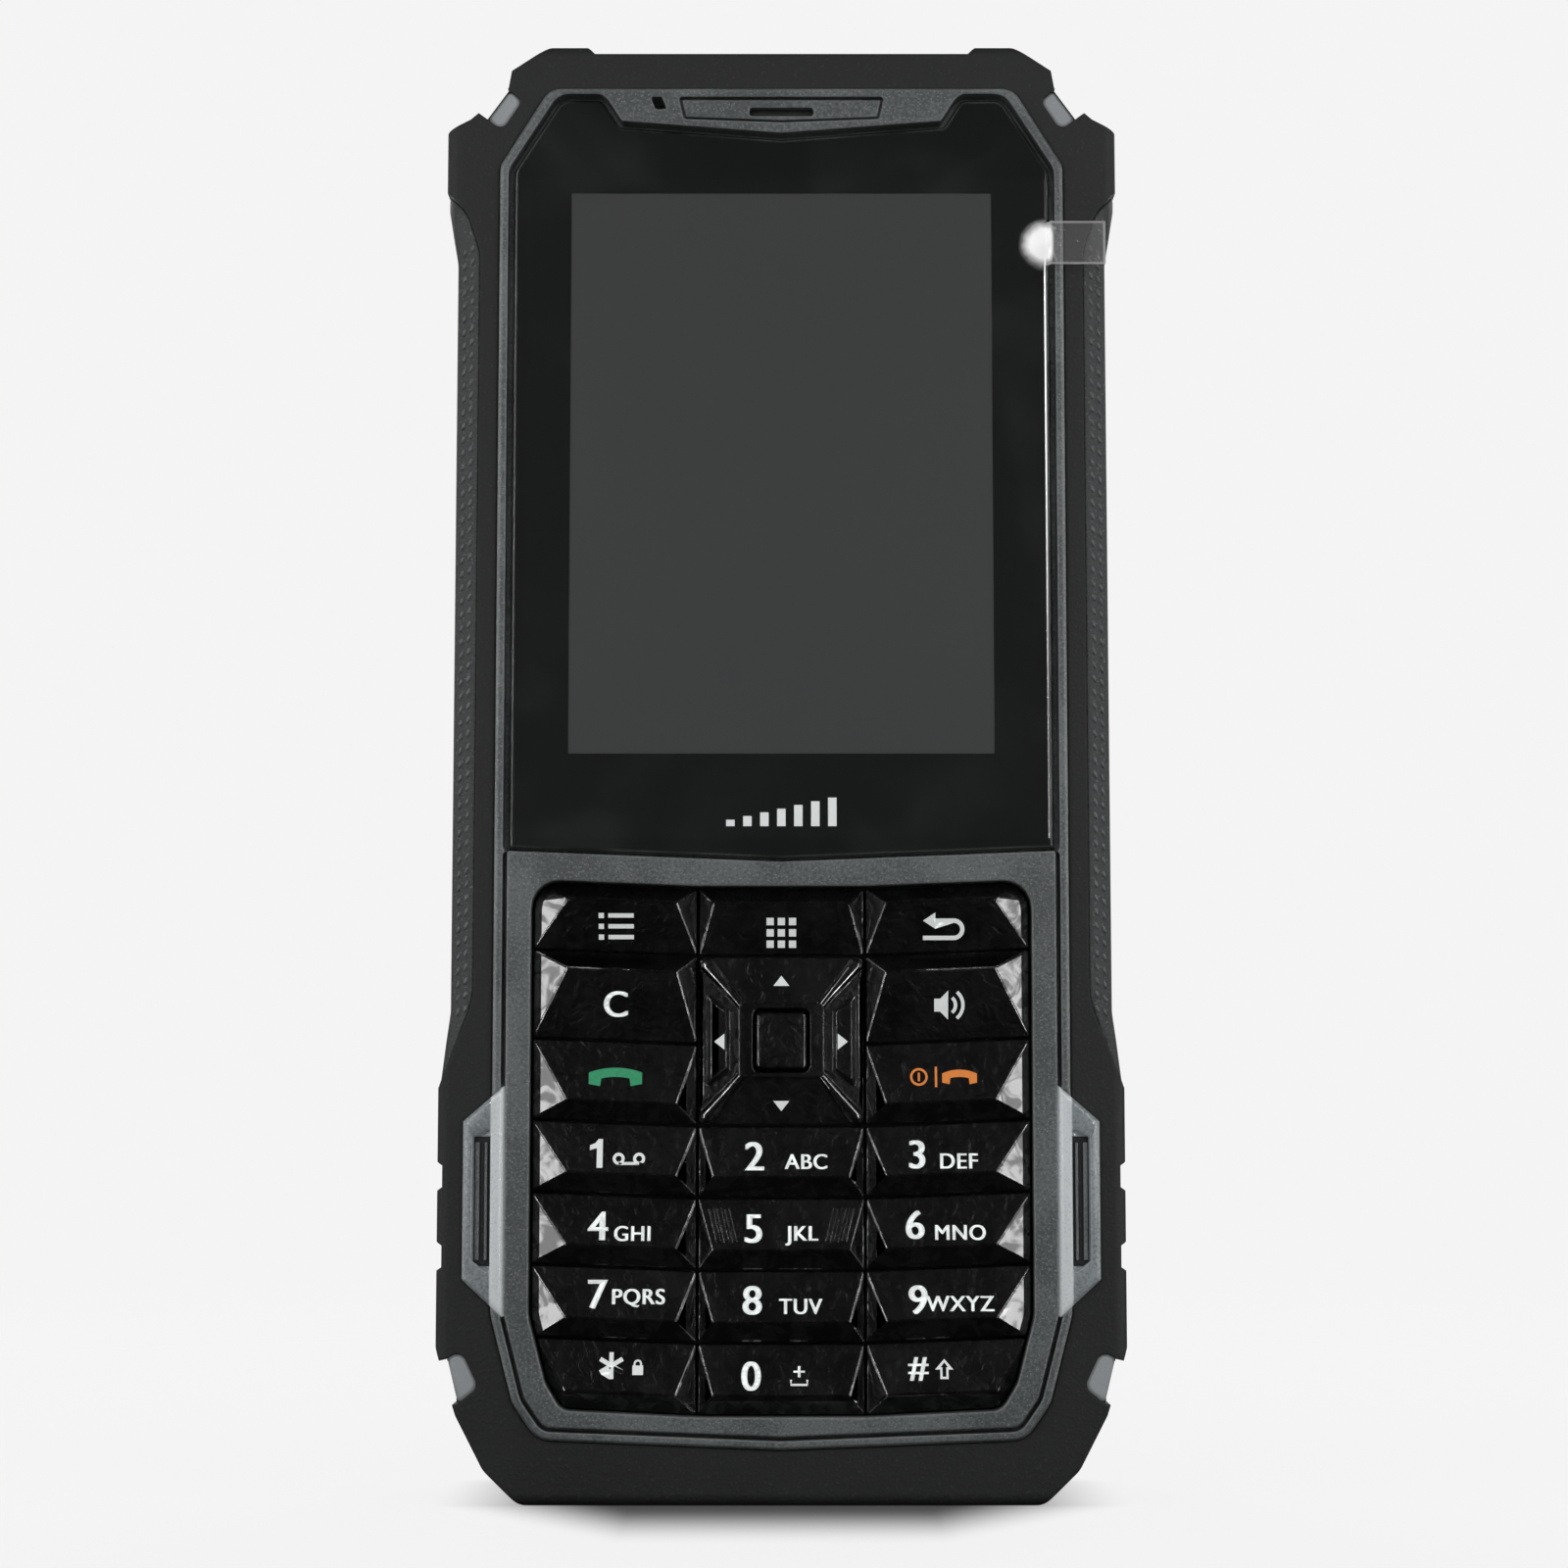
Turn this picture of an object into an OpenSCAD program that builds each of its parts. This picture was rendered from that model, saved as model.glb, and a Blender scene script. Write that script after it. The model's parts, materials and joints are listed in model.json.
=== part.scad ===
// Rugged keypad handset, standing upright on its base.
// X runs across the phone, Z runs up it, and the front faces -Y.
// The origin is in the middle of the base.  Millimetres.

/* [Overall] */
// Width over the bumper ribs
body_w = 64.4; // [60:0.2:84]
// Height over the top ears
body_h = 138.8; // [128:0.5:180]
// Depth from the front rim to the battery cover
body_d = 22; // [21:0.5:30]

/* [Bumper and grips] */
// Bumper width on each side of the front rim
bumper_side = 5.2; // [4.6:0.1:7]
// Bumper height under the front rim
bumper_foot = 6; // [5.4:0.1:8]
// Bumper height over the front rim, up to the ears
bumper_cap = 4.5; // [4:0.1:6]
// How far the middle of the top edge lies below the ears
top_dip = 0.9; // [0.4:0.1:1.4]
// How far the grips lie inside the ribs
waist = 1.1; // [0.8:0.1:1.4]
// Width of the grip strip on the front
grip_face = 2.2; // [1.6:0.1:2.4]
// Height of the lower end of the grips
grip_low = 38.6; // [36:0.1:44]
// Distance from the top of the phone to the upper end of the grips
grip_drop = 15.4; // [14:0.1:20]
// Rounding of the bumper's front and rear edges
bumper_round = 1.2; // [0.5:0.1:1.6]
// Rounding of the grips' front and rear edges
grip_round = 3.5; // [1.5:0.1:4]

/* [Front case] */
// Width of the rim around the front
rim_w = 0.8; // [0.6:0.05:1.2]
// Dark groove between the rim and the keypad frame
groove = 0.4; // [0.2:0.05:0.6]
// Gap between the lens and the rim
lens_gap = 0.5; // [0.2:0.05:0.7]
// Height of the visor at the middle of its lower edge
visor_h = 4.9; // [4.4:0.1:6]
// How far the lens lies behind the rim
lens_drop = 0.4; // [0.2:0.05:0.8]
// Thickness of the lens
lens_t = 1.2; // [0.8:0.1:1.5]
// Depth of the front case, from the rim to the parting line
front_case_d = 11; // [10.5:0.1:12]

/* [Display] */
// Black border at each side of the screen
screen_side = 5.6; // [5:0.1:8]
// Black border between the visor and the screen
screen_top = 5.4; // [4:0.1:8]
// Black border below the screen
screen_foot = 9; // [6:0.1:12]
// Thickness of the display module
display_t = 2.6; // [2:0.1:2.8]

/* [Keypad] */
// Keypad frame beside the keys
frame_side = 2.3; // [1.8:0.1:3]
// Keypad frame below the keys
frame_foot = 1.6; // [1.4:0.1:3]
// Keypad frame above the keys
frame_head = 2.7; // [2:0.05:4]
// Height of a row of digit keys
digit_row = 6.7; // [6:0.1:9]
// Height of the row of call keys
call_row = 7.6; // [7:0.1:10]
// Height of the row of the clear key
clear_row = 8.3; // [7:0.1:10]
// Height of the top row of keys
menu_row = 6.5; // [6:0.1:9]
// Fall of each row towards the middle, per mm
row_slope = 0.04; // [0:0.005:0.05]
// Gap between neighbouring keys
key_gap = 0.24; // [0.2:0.02:0.4]
// Height of a key's crest above its edges
key_rise = 1.2; // [0.8:0.1:1.4]
// Travel of a key
key_travel = 0.4; // [0.2:0.05:0.5]

/* [Rear] */
// Case left on each side of the battery cover
cover_side = 4.7; // [4.2:0.1:6]
// Height of the lower edge of the battery cover
cover_low = 14.4; // [12:0.1:18]
// Distance from the top of the phone to the upper edge of the cover
cover_drop = 41.5; // [39:0.5:60]
// Gap around the battery cover
cover_gap = 0.2; // [0.15:0.05:0.4]
// Thickness of the battery
battery_t = 6.8; // [4:0.1:7]
// Diameter of the head of the cover screw
coin_screw_d = 8; // [6:0.1:9]
// Diameter of the shank of the cover screw
coin_shank_d = 3; // [2:0.1:4]
// Diameter of a case screw head
screw_head_d = 3.2; // [2.5:0.1:3.6]
// Diameter of a case screw shank
screw_d = 1.6; // [1.2:0.1:2]

/* [Ports] */
// Width of the data socket
usb_w = 9; // [8:0.1:10]
// Depth of the data socket
usb_d = 3.2; // [2.6:0.1:3.4]
// Bore of the headset socket
jack_d = 3.6; // [2.6:0.1:3.6]
// Outside diameter of the headset socket
jack_body_d = 5.4; // [4.8:0.1:5.6]
// Distance of the headset socket from the middle
jack_x = 11; // [8:0.5:12]
// Thickness of a port flap
flap_t = 1.5; // [1.2:0.1:1.6]

/* [Hidden] */

// Facets of a true circle, and segments of a rounded corner of an outline
$fn = 48;
ARC = 5;
// Overlap of a cutter past the face that it cuts, and the least radius of a rounded corner
over = 1;
least_r = 0.05;
// Fit of pieces that stay together, and gap around pieces that move
fit = 0.1;
play = 0.2;

// Depths of the main planes, from the front to the back
y_front = -body_d / 2;
y_back = body_d / 2;
y_part = y_front + front_case_d;
y_bumper = y_front + 0.6;
y_bumper_back = y_back - 1.2;
y_lens = y_front + lens_drop;
y_seat = y_lens + lens_t + 0.3;
y_frame = y_front + 0.1;
y_frame_back = y_frame + 2.2;
y_crest = y_front + 0.1;
y_valley = y_crest + key_rise;
y_well = y_front + 5;
y_mat = y_front + 4;
y_key_back = y_mat - key_travel - 0.6;
y_board = y_front + 5.4;
board_t = 1;
y_cavity = y_front + 4.2;
y_case_back = y_back - 0.8;
y_cover_in = y_back - 2.2;
y_cover_seat = y_cover_in - 0.3;
y_bay = y_part + 1;

// Rim outline and what lies inside it
rim_half = body_w / 2 - bumper_side;
rim_low = bumper_foot;
rim_high = body_h - bumper_cap;
lens_half = rim_half - rim_w - lens_gap;
frame_half = rim_half - rim_w - groove;
open_half = frame_half - frame_side;
col_half = open_half / 3;
open_low = rim_low + rim_w + groove + frame_foot;
levels = [
    open_low + 4 * digit_row + call_row + clear_row + menu_row,
    open_low + 4 * digit_row + call_row + clear_row,
    open_low + 4 * digit_row + call_row,
    for (row = [4 : -1 : 0]) open_low + row * digit_row,
];
lens_low = levels[0] + frame_head + 0.25;
visor_low = rim_high - visor_h;
screen_half = lens_half - screen_side;
screen_low = lens_low + screen_foot;
screen_high = visor_low - screen_top;
cavity_half = rim_half - 4.6;
cavity_low = rim_low + 2.8;
cavity_high = rim_high - 2;
grip_inner = body_w / 2 - waist - grip_face;
nav_z = (levels[1] + levels[3]) / 2 - row_slope * (open_half - col_half);
cover_half = rim_half - cover_side;
cover_high = body_h - cover_drop;
coin_z = cover_low + 6.2;
screw_x = rim_half - 2.4;
screw_rows = [cover_low + 6, (cover_low + cover_high) / 2 + 14, rim_high - 12.6];
usb_y = y_board + board_t + 0.1 + usb_d / 2;
jack_y = y_board + board_t + 1.6;
bay_half = cover_half - 2.7;
bay_low = coin_z + 5.4;
bay_high = cover_high - 3.6;

// Small vector helpers
function flat(p) = [p.x, p.y];
function unit(v) = v / norm(v);
function left_of(v) = [-v.y, v.x];
function turned(v, a) = [v.x * cos(a) - v.y * sin(a), v.x * sin(a) + v.y * cos(a)];

// An outline is a list of [x, z, corner radius], anticlockwise as seen from the front.
// both_sides() completes its right half.
function both_sides(half) = concat(
    half,
    [for (i = [len(half) - 1 : -1 : 0]) if (half[i].x > 0) [-half[i].x, half[i].y, half[i][2]]]
);

// The same outline with every edge moved inwards by d
function inset(pts, d) = [
    for (i = [0 : len(pts) - 1])
        let (
            n = len(pts),
            here = flat(pts[i]),
            coming = unit(here - flat(pts[(i + n - 1) % n])),
            going = unit(flat(pts[(i + 1) % n]) - here),
            a = left_of(coming),
            b = left_of(going),
            moved = here + (a + b) * d / (1 + a * b),
            bend = cross(coming, going) >= 0 ? -d : d
        )
        [moved.x, moved.y, pts[i][2] == 0 ? 0 : max(pts[i][2] + bend, least_r)]
];

// One corner as an arc, or as a point where its radius is 0
function corner(before, here, after) =
    let (
        u = unit(flat(before) - flat(here)),
        v = unit(flat(after) - flat(here)),
        half = acos(u * v) / 2,
        middle = flat(here) + unit(u + v) * here[2] / sin(half),
        start = flat(here) + u * here[2] / tan(half) - middle,
        sweep = (180 - 2 * half) * sign(cross(v, u))
    )
    here[2] == 0 ? [flat(here)] : [for (k = [0 : ARC]) middle + turned(start, sweep * k / ARC)];

// The points of an outline, with its corners rounded
function rounded(pts) = [
    for (i = [0 : len(pts) - 1])
        let (n = len(pts))
        each corner(pts[(i + n - 1) % n], pts[i], pts[(i + 1) % n])
];

// Outline of a rectangle with round corners
function rectangle(half_w, low, high, r, x = 0) = [
    [x + half_w, low, r], [x + half_w, high, r], [x - half_w, high, r], [x - half_w, low, r]
];

// Plate between two depths, from a list of points
module slab(points, y0, y1) {
    translate([0, y1, 0]) rotate([90, 0, 0]) linear_extrude(y1 - y0) polygon(points);
}

// Plate between two depths, from a flat shape given as a child
module plate(y0, y1) {
    translate([0, y1, 0]) rotate([90, 0, 0]) linear_extrude(y1 - y0) children();
}

// Solid through a list of [depth, points], each with as many points as the first
module skin(rings) {
    n = len(rings[0][1]);
    last = len(rings) - 1;
    front = [for (i = [n - 1 : -1 : 0]) i];
    back = [for (i = [0 : n - 1]) last * n + i];
    sides = [
        for (k = [0 : last - 1])
            for (i = [0 : n - 1])
                let (a = k * n + i, b = k * n + (i + 1) % n)
                each [[a, b, b + n], [a, b + n, a + n]]
    ];
    polyhedron([for (ring = rings) for (p = ring[1]) [p.x, ring[0], p.y]], concat([front], sides, [back]));
}

// Outline pulled through a plate with a chamfer at each end
module chamfered(outline, y0, y1, front_c, back_c) {
    skin([
        [y0, rounded(inset(outline, front_c))],
        [y0 + front_c, rounded(outline)],
        [y1 - back_c, rounded(outline)],
        [y1, rounded(inset(outline, back_c))],
    ]);
}

// Body of the phone between two depths, with its long edges and its end edges rounded
module rounded_block(y0, y1, side_r, end_r) {
    intersection() {
        linear_extrude(body_h)
            polygon(rounded([
                [body_w / 2, y0, side_r],
                [body_w / 2, y1, side_r],
                [-body_w / 2, y1, side_r],
                [-body_w / 2, y0, side_r],
            ]));
        translate([-body_w / 2, 0, 0])
            rotate([90, 0, 90])
                linear_extrude(body_w)
                    polygon(rounded([[y0, 0, end_r], [y1, 0, end_r], [y1, body_h, end_r], [y0, body_h, end_r]]));
    }
}

module box(low, high) {
    translate(low) cube(high - low);
}

module both_x() {
    children();
    mirror([1, 0, 0]) children();
}

// Round bar along the depth
module pin_y(d, y0, y1) {
    translate([0, y1, 0]) rotate([90, 0, 0]) cylinder(d = d, h = y1 - y0);
}

// Outline of the bumper
bumper_outline = both_sides([
    [body_w / 2 - 8, 0, 2],
    [body_w / 2 - 4.6, 3.3, 3],
    [body_w / 2 - 2, 8.3, 0],
    [body_w / 2, 14.6, 0],
    [body_w / 2, grip_low, 0],
    [body_w / 2 - waist, grip_low + 7, 4],
    [body_w / 2 - waist, body_h - grip_drop - 6, 5],
    [body_w / 2, body_h - grip_drop, 0],
    [body_w / 2, body_h - 8.6, 0],
    [body_w / 2 - 2.3, body_h - 7.4, 0],
    [body_w / 2 - 5.9, body_h - 4.3, 0],
    [body_w / 2 - 6.2, body_h - 2.6, 0],
    [body_w / 2 - 10.1, body_h, 0],
    [body_w / 2 - 13.4, body_h, 0],
    [body_w / 2 - 14.2, body_h - top_dip, 0],
]);

// Outline of the front rim, which both cases follow
rim_outline = both_sides([
    [0, rim_low - 0.8, 0],
    [rim_half - 4.4, rim_low + 0.1, 2.5],
    [rim_half - 2.1, rim_low + 3.4, 4],
    [rim_half, rim_low + 11.6, 4],
    [rim_half, rim_high - 7.6, 1.5],
    [rim_half - 4.7, rim_high, 2],
]);

// Outline of the lens, with a shoulder on each side of the visor
lens_outline = both_sides([
    [0, lens_low - row_slope * lens_half, 0],
    [lens_half, lens_low, 0.3],
    [lens_half, rim_high - 8.1, 1.5],
    [lens_half - 4.5, rim_high - 1.05, 1.5],
    [lens_half - 8.4, rim_high - 1.05, 1],
    [lens_half - 10.1, rim_high - 3.7, 0.4],
    [0, visor_low, 0],
]);

// Outline of the opening that the keys stand in
open_outline = both_sides([
    [col_half, row_z(open_low, 0), 0],
    [open_half - 3.1, open_low, 1.6],
    [open_half - 1.6, open_low + 2.5, 3],
    [open_half, open_low + 8.6, 5],
    [open_half, levels[0], 2.6],
    [col_half, row_z(levels[0], 0), 0],
]);

// Outline of the side bracket on the right
bracket_outline = [
    [frame_half + fit, grip_low - 21.3, 0],
    [rim_half + 2.7, grip_low - 17.8, 0.3],
    [rim_half + 2.7, grip_low - 3.2, 0.3],
    [frame_half + fit, grip_low + 0.1, 0],
];
bracket_back = y_front + 1.6;

// Outline of the grip strip on the right, run out past the side of the phone
grip_outline = [
    [body_w / 2 + 4, grip_low - 2.2, 0],
    [body_w / 2 + 4, body_h - grip_drop + 3, 0],
    [body_w / 2 - 0.1, body_h - grip_drop + 1, 0],
    [grip_inner + 1.2, body_h - grip_drop - 1.3, 4],
    [grip_inner, body_h - grip_drop - 5, 4],
    [grip_inner, grip_low + 8, 9],
    [body_w / 2 - 0.1, grip_low, 0],
];

// Height of a row line at a distance from the middle; it is level across the middle column
function row_z(level, x) = level - row_slope * (open_half - max(abs(x), col_half));

// Flat shape of the keypad frame without its opening, grown by a clearance
module frame_shape(grow) {
    intersection() {
        polygon(rounded(inset(rim_outline, rim_w + groove - grow)));
        polygon([
            [-body_w, 0],
            [body_w, 0],
            [lens_half, lens_low - 0.25 + grow],
            [0, lens_low - 0.25 + grow - row_slope * lens_half],
            [-lens_half, lens_low - 0.25 + grow],
        ]);
    }
}

// Inserts sit in the four corners of the bumper
insert_low = [
    [body_w / 2 - 2.2, 9.4, 0.3],
    [body_w / 2 - 1.2, 13.5, 0.3],
    [body_w / 2 - 2.5, 14.3, 0.9],
    [body_w / 2 - 4.1, 10.9, 0.9],
];
insert_high = [
    [body_w / 2 - 3.9, body_h - 7.4, 0.5],
    [body_w / 2 - 6, body_h - 4.5, 0.4],
    [body_w / 2 - 7.2, body_h - 5.6, 0.7],
    [body_w / 2 - 5.3, body_h - 8.5, 0.8],
];

// Space outside an insert that the bumper leaves free
module insert_relief() {
    reach = 3;
    for (pts = [insert_low, insert_high]) {
        out = unit(left_of(flat(pts[0]) - flat(pts[1]))) * reach;
        slab([flat(pts[0]), flat(pts[0]) + out, flat(pts[1]) + out, flat(pts[1])], y_front, y_back);
        slab(rounded(pts), y_front, y_back);
    }
}

ptt_half = 14;
ptt_z = grip_low + 9.9 + ptt_half;
volume_half = 10;
volume_z = body_h - grip_drop - 16 - volume_half;
side_key_y = 3.2;
side_key_in = rim_half + 1.4;
side_key_out = body_w / 2 - waist + 0.15;

// Pocket of a side key on the right
module side_key_pocket(z, half, gap) {
    box([side_key_in - 0.6, -side_key_y - gap, z - half - gap], [body_w, side_key_y + gap, z + half + gap]);
}

usb_flap_half = 7;
jack_flap_half = 5;
flap_y = 4.2;
usb_hinge = [usb_y + flap_y, 0.35 + flap_t / 2];
jack_hinge = [jack_y + flap_y, body_h - top_dip - 0.1 - flap_t / 2];

// Flap that reaches forward from a round hinge edge; its middle line is at z
module flap(half_w, y_hinge, z, extra) {
    reach = 2 * flap_y;
    t = flap_t + 2 * extra;
    box([-half_w - extra, y_hinge - reach - extra, z - t / 2], [half_w + extra, y_hinge, z + t / 2]);
    translate([-half_w - extra, y_hinge, z]) rotate([0, 90, 0]) cylinder(d = t, h = 2 * (half_w + extra));
}

// Pockets and holes of both ports
module port_cuts() {
    flap(usb_flap_half, usb_hinge.x, usb_hinge.y, play);
    box(
        [-usb_flap_half - play, usb_hinge.x - 2 * flap_y - play, -over],
        [usb_flap_half + play, usb_hinge.x + flap_t / 2 + play, usb_hinge.y]
    );
    box([-usb_w / 2 - fit, usb_y - usb_d / 2 - fit, 0], [usb_w / 2 + fit, usb_y + usb_d / 2 + fit, cavity_low + over]);
    translate([-jack_x, 0, 0]) {
        flap(jack_flap_half, jack_hinge.x, jack_hinge.y, play);
        box(
            [-jack_flap_half - play, jack_hinge.x - 2 * flap_y - play, jack_hinge.y],
            [jack_flap_half + play, jack_hinge.x + flap_t / 2 + play, body_h + over]
        );
        translate([0, jack_y, cavity_high - over]) cylinder(d = jack_body_d + 2 * fit, h = 2 * bumper_cap);
    }
}

module bumper() {
    notch_low = grip_low - 14.2;
    notch_high = grip_low - 6.8;
    color("#242626")
        difference() {
            intersection() {
                slab(rounded(bumper_outline), y_bumper, y_bumper_back);
                rounded_block(y_bumper, y_bumper_back, bumper_round, bumper_round);
            }
            slab(rounded(inset(rim_outline, -fit)), y_front, y_back);
            both_x() {
                slab(rounded(grip_outline), y_front, y_back);
                insert_relief();
                slab(rounded(bracket_outline), y_front, bracket_back);
                for (z = [notch_low - 1.5, notch_high - 1.5])
                    slab(
                        [
                            [body_w / 2 - 0.55, z - 1],
                            [body_w / 2 + over, z - 2],
                            [body_w / 2 + over, z + 2],
                            [body_w / 2 - 0.55, z + 1],
                        ],
                        y_front,
                        y_back
                    );
            }
            mirror([1, 0, 0]) side_key_pocket(ptt_z, ptt_half, play);
            side_key_pocket(volume_z, volume_half, play);
            port_cuts();
        }
}

module grip(gap_z, gap_half) {
    color("#2c2e2e")
        difference() {
            intersection() {
                slab(rounded(bumper_outline), y_bumper, y_bumper_back);
                slab(rounded(grip_outline), y_front, y_back);
                rounded_block(y_bumper, y_bumper_back, grip_round, bumper_round);
            }
            side_key_pocket(gap_z, gap_half, play);
        }
}

module grip_left() {
    mirror([1, 0, 0]) grip(ptt_z, ptt_half);
}

module grip_right() {
    grip(volume_z, volume_half);
}

module corner_inserts() {
    color("#8f9496")
        both_x()
            for (pts = [insert_low, insert_high])
                chamfered(pts, y_bumper + 0.15, y_back - 2, 0.25, 0.25);
}

earpiece_z = rim_high - 2.3;
earpiece_half = 3.1;
earpiece_h = 0.85;

module front_case() {
    recess_half = 9.9;
    recess_high = rim_high - 0.85;
    recess_low = rim_high - 3.05;
    recess = [
        [0, recess_low - 0.35, 0],
        [recess_half - 0.5, recess_low, 0.3],
        [recess_half, recess_high, 0.3],
        [-recess_half, recess_high, 0.3],
        [0.5 - recess_half, recess_low, 0.3],
    ];
    recess_line = 0.3;
    sensor_x = 11.8;
    sensor_slant = 0.25;
    color("#50575a")
        difference() {
            chamfered(rim_outline, y_front, y_part, 0.25, 0.05);
            slab(rounded(inset(lens_outline, -lens_gap)), y_front - over, y_seat);
            plate(y_front - over, y_frame_back) frame_shape(groove);
            // Window of the display, well of the keys, and the space for the board
            box([-screen_half - 2.2, y_front, screen_low - 3.6], [screen_half + 2.2, y_cavity + over, screen_high + 2.2]);
            slab(rounded(inset(open_outline, -0.9)), y_front, y_well);
            slab(rounded(rectangle(cavity_half, cavity_low, cavity_high, 3)), y_cavity, y_part + over);
            // Receiver pocket, earpiece recess and slot, and the sensor hole
            box([-6.4, y_front + 2.6, rim_high - 7.2], [6.4, y_well, rim_high - 1.4]);
            slab(rounded(recess), y_front - over, y_front + 0.2);
            difference() {
                slab(rounded(recess), y_front, y_front + 0.9);
                slab(rounded(inset(recess, recess_line)), y_front - over, y_front + 2);
            }
            slab(
                rounded(rectangle(earpiece_half, earpiece_z - earpiece_h / 2, earpiece_z + earpiece_h / 2, 0.3)),
                y_front,
                y_front + 3
            );
            slab(
                rounded([
                    [0.55 + sensor_slant - sensor_x, rim_high - 2.1, 0.2],
                    [0.55 - sensor_slant - sensor_x, rim_high - 0.85, 0.2],
                    [-0.55 - sensor_slant - sensor_x, rim_high - 0.85, 0.2],
                    [sensor_slant - 0.55 - sensor_x, rim_high - 2.1, 0.2],
                ]),
                y_front - over,
                y_front + 2.5
            );
            both_x() {
                slab(rounded(bracket_outline), y_front - over, bracket_back);
                for (z = screw_rows)
                    translate([screw_x, 0, z]) pin_y(screw_d, y_well + 1, y_part + over);
            }
            port_cuts();
        }
}

module keypad_frame() {
    color("#53595b")
        difference() {
            plate(y_frame, y_frame_back) frame_shape(0);
            slab(rounded(open_outline), y_front - over, y_part);
        }
}

module display_lens() {
    color("#191b1c") chamfered(lens_outline, y_lens, y_lens + lens_t, 0.25, 0.05);
}

module lens_gasket() {
    color("#101010")
        difference() {
            slab(rounded(inset(lens_outline, 0.6)), y_lens + lens_t, y_seat);
            box([-screen_half - 2.8, y_front, screen_low - 4.4], [screen_half + 2.8, y_part, screen_high + 2.6]);
        }
}

module side_brackets() {
    window = [
        [rim_half + 0.1, grip_low - 17.4, 0.3],
        [rim_half + 1.75, grip_low - 16.1, 0.3],
        [rim_half + 1.75, grip_low - 4.7, 0.3],
        [rim_half + 0.1, grip_low - 3.7, 0.3],
    ];
    color("#a9b1b3")
        both_x()
            difference() {
                chamfered(bracket_outline, y_front, bracket_back, 0.3, 0.02);
                slab(rounded(window), y_front - over, y_front + 1);
            }
}

// Outline of the battery cover
cover_outline = [
    [cover_half, cover_low, 4],
    [cover_half, cover_high - 4, 2],
    [cover_half - 4, cover_high, 2],
    [4 - cover_half, cover_high, 2],
    [-cover_half, cover_high - 4, 2],
    [-cover_half, cover_low, 4],
];
window_outline = rectangle(11, rim_high - 19.4, rim_high - 9, 4);
grille_outline = rectangle(9.5, rim_high - 30.4, rim_high - 23.6, 1.5);

module rear_case() {
    color("#2b2d2e")
        difference() {
            chamfered(rim_outline, y_part, y_case_back, 0.05, 0.9);
            slab(rounded(inset(cover_outline, -cover_gap)), y_cover_seat, y_back);
            slab(rounded(rectangle(bay_half, bay_low, bay_high, 1)), y_bay, y_back);
            slab(rounded(rectangle(cavity_half, bay_high + 5.6, cavity_high, 3)), y_part - over, y_case_back - 1.4);
            slab(rounded(inset(window_outline, -fit)), y_case_back - 1, y_back);
            slab(rounded(inset(grille_outline, -fit)), y_case_back - 1, y_back);
            box([-8, y_part, rim_high - 29.4], [8, y_back, rim_high - 24.6]);
            translate([-4.6, 0, rim_high - 14.2]) pin_y(7, y_part, y_back);
            translate([5.4, 0, rim_high - 14.2]) pin_y(3.4, y_part, y_back);
            // Contact block notch, card holder pocket and the thread of the cover screw
            box([-6.2, y_bay + 0.6, bay_high - over], [6.2, y_bay + 5.4, bay_high + 2.6]);
            box([-7.2, y_part + 0.4, bay_low + 30], [7.2, y_bay + over, bay_low + 46.4]);
            translate([0, 0, coin_z]) pin_y(coin_shank_d + 2 * fit, y_bay + 1.4, y_back);
            both_x()
                for (z = screw_rows)
                    translate([screw_x, 0, z]) {
                        pin_y(screw_d, y_part - over, y_back);
                        pin_y(screw_head_d + fit, y_case_back - 1.6, y_back);
                    }
        }
}

module battery_cover() {
    color("#313435")
        difference() {
            chamfered(cover_outline, y_cover_in, y_back, 0.05, 0.7);
            for (k = [0 : 6])
                slab(
                    rounded(rectangle(14 - k, coin_z + 12 + k * 4, coin_z + 13.6 + k * 4, 0.7)),
                    y_back - 0.5,
                    y_back + over
                );
            translate([0, 0, coin_z]) {
                pin_y(coin_screw_d + 2 * play, y_back - 1.6, y_back + over);
                pin_y(coin_shank_d + 2 * play, y_cover_in - over, y_back);
            }
        }
}

module cover_screw() {
    head_y = y_back - 1.5;
    color("#9a9da0")
        translate([0, 0, coin_z])
            difference() {
                union() {
                    pin_y(coin_screw_d, head_y, y_back - 0.2);
                    pin_y(coin_shank_d, y_bay + 1.7, head_y);
                }
                box([-coin_screw_d / 2 - 1, y_back - 1, -0.6], [coin_screw_d / 2 + 1, y_back, 0.6]);
            }
}

module cover_seal() {
    color("#c9622a")
        difference() {
            slab(rounded(inset(cover_outline, 0.5)), y_cover_seat, y_cover_in - 0.1);
            slab(rounded(inset(cover_outline, 1.5)), y_part, y_back);
        }
}

module speaker_grille() {
    color("#3c4042")
        difference() {
            slab(rounded(grille_outline), y_case_back - 0.9, y_case_back - 0.1);
            for (k = [-3 : 3])
                slab(
                    rounded(rectangle(0.65, rim_high - 29.2, rim_high - 24.8, 0.6, 2.1 * k)),
                    y_part,
                    y_back
                );
        }
}

module rear_window() {
    color("#15171a")
        difference() {
            slab(rounded(window_outline), y_case_back - 0.9, y_case_back - 0.05);
            translate([-4.6, 0, rim_high - 14.2]) pin_y(4, y_case_back - 0.4, y_back);
            translate([5.4, 0, rim_high - 14.2]) pin_y(2.6, y_case_back - 0.4, y_back);
        }
}

module earpiece_mesh() {
    color("#101112")
        slab(
            rounded(rectangle(earpiece_half, earpiece_z - earpiece_h / 2, earpiece_z + earpiece_h / 2, 0.3)),
            y_front + 1.1,
            y_front + 1.4
        );
}

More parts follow.
